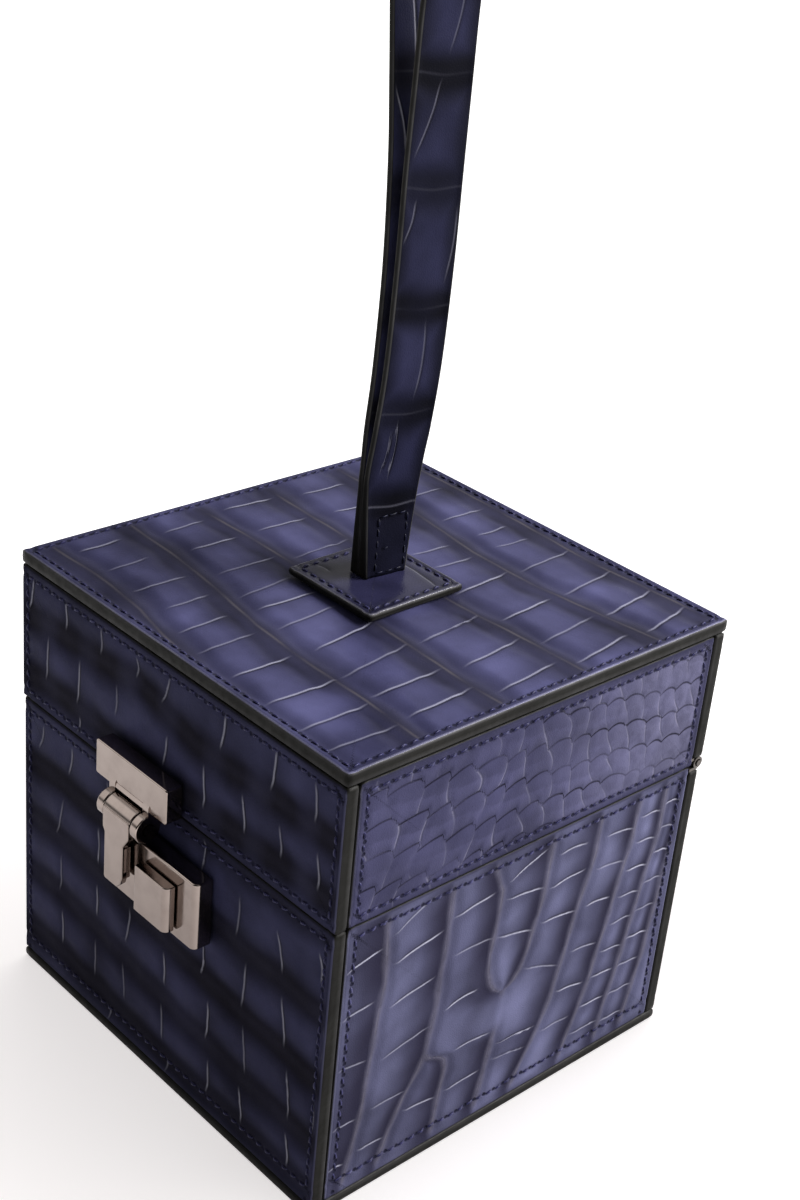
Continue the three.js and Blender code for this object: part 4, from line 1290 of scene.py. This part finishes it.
# Floor, light and camera
# A pale floor, a broad soft light from the right and behind, and the photograph's viewing angle.
# The window's light passes over the floor, which glows by its own emission and so lights the case from
# below.
# The glow is painted darker close round the case as a painted shadow, and brighter towards the right as
# painted light.
FLOOR_REACH = 20.0
floor_finish, floor_tree, floor_shader = new_finish("pale_floor", specular=0.2)
floor_at = own_place(floor_tree)
floor_weave = noise(floor_tree, floor_at, 600.0, 2.0)
floor_colour = blend_colour(floor_tree, floor_weave, (0.86, 0.84, 0.84), (0.90, 0.885, 0.885))
floor_tree.links.new(floor_colour, floor_shader.inputs["Base Color"])
floor_shader.inputs["Roughness"].default_value = 0.9
floor_far = place_node(floor_tree, "ShaderNodeVectorMath", {0: floor_at}, operation="LENGTH")
floor_shadow_fade = ramp(floor_tree, floor_far.outputs["Value"], 0.10, 0.24)
floor_glow_shadowed = blend_colour(floor_tree, floor_shadow_fade, (0.52, 0.502, 0.502), (0.92, 0.92, 0.92))
floor_side = place_node(floor_tree, "ShaderNodeSeparateXYZ", {0: floor_at}).outputs[0]
floor_light_share = ramp(floor_tree, floor_side, 0.03, 0.2)
floor_glow_lit = blend_colour(floor_tree, floor_light_share, floor_glow_shadowed, (1.4, 1.4, 1.4))
floor_tree.links.new(floor_glow_lit, floor_shader.inputs["Emission Color"])
floor_shader.inputs["Emission Strength"].default_value = 1.0
floor_mesh = bpy.data.meshes.new("floor")
floor_corners = [(x * FLOOR_REACH, y * FLOOR_REACH, 0) for x, y in ((-1, -1), (1, -1), (1, 1), (-1, 1))]
floor_mesh.from_pydata(floor_corners, [], [(0, 1, 2, 3)])
floor_mesh.materials.append(floor_finish)
floor = set_out("floor", floor_mesh)

world = bpy.data.worlds.new("soft_room")
bpy.context.scene.world = world
world.use_nodes = True
room = world.node_tree
toward = room.nodes.new("ShaderNodeTexCoord").outputs["Generated"]


def bright_towards(direction, low, high, most):
    facing = place_node(room, "ShaderNodeVectorMath", {0: toward, 1: direction}, operation="DOT_PRODUCT")
    return ramp(room, facing.outputs["Value"], low, high, 0.0, most)


glow = bright_towards((0.2, 0.8, 0.56), 0.2, 0.95, 1.5)
card = bright_towards((-0.66, -0.42, 0.62), 0.82, 0.96, 1.6)
height = calc(room, "ABSOLUTE", place_node(room, "ShaderNodeSeparateXYZ", {0: toward}).outputs[2])
horizon = ramp(room, height, 0.0, 0.18, 0.9, 0.0)
shine = calc(room, "MAXIMUM", calc(room, "ADD", glow, card), horizon)
backdrop = room.nodes.new("ShaderNodeLightPath").outputs["Is Camera Ray"]
room.links.new(calc(room, "MAXIMUM", shine, backdrop), room.nodes["Background"].inputs["Strength"])
room.nodes["Background"].inputs["Color"].default_value = (1.0, 0.985, 0.97, 1)

WINDOW_AT = Vector((0.52, 0.57, 0.62))
WINDOW_AIM = Vector((0, 0, 0.06))
lamp = bpy.data.lights.new("window", "AREA")
lamp.shape = "RECTANGLE"
lamp.size = 0.5
lamp.size_y = 0.5
lamp.energy = 29.0
lamp.color = (1.0, 0.985, 0.965)
window = set_out("window", lamp)
window.location = WINDOW_AT
window.rotation_euler = (WINDOW_AIM - WINDOW_AT).to_track_quat("-Z", "Y").to_euler()
window.visible_camera = False
unlit = bpy.data.collections.new("unlit_by_window")
unlit.objects.link(floor)
unlit.collection_objects[0].light_linking.link_state = "EXCLUDE"
window.light_linking.receiver_collection = unlit

CAMERA_TURN = math.radians(45.29)
CAMERA_RISE = math.radians(27.39)
CAMERA_ROLL = math.radians(5.54)
CAMERA_AWAY = 0.48769
CAMERA_SIDE = 0.01125
CAMERA_UP = 0.05017
CAMERA_LENS = 57.71
CAMERA_SENSOR = 36.0
CASE_MIDDLE = Vector((0, 0, 0.06))
ahead = (math.sin(CAMERA_TURN) * math.cos(CAMERA_RISE), -math.cos(CAMERA_TURN) * math.cos(CAMERA_RISE))
back = Vector((*ahead, math.sin(CAMERA_RISE)))
level = Vector((0, 0, 1)).cross(back).normalized()
upright = back.cross(level)
right = level * math.cos(CAMERA_ROLL) + upright * math.sin(CAMERA_ROLL)
top = upright * math.cos(CAMERA_ROLL) - level * math.sin(CAMERA_ROLL)
eye = back * CAMERA_AWAY + right * CAMERA_SIDE + top * CAMERA_UP + CASE_MIDDLE
lens = bpy.data.cameras.new("camera")
lens.lens = CAMERA_LENS
lens.sensor_width = CAMERA_SENSOR
camera = set_out("camera", lens)
camera.matrix_world = Matrix.Translation(eye) @ Matrix((right, top, back)).transposed().to_4x4()
bpy.context.scene.camera = camera
bpy.context.scene.view_settings.view_transform = "Standard"
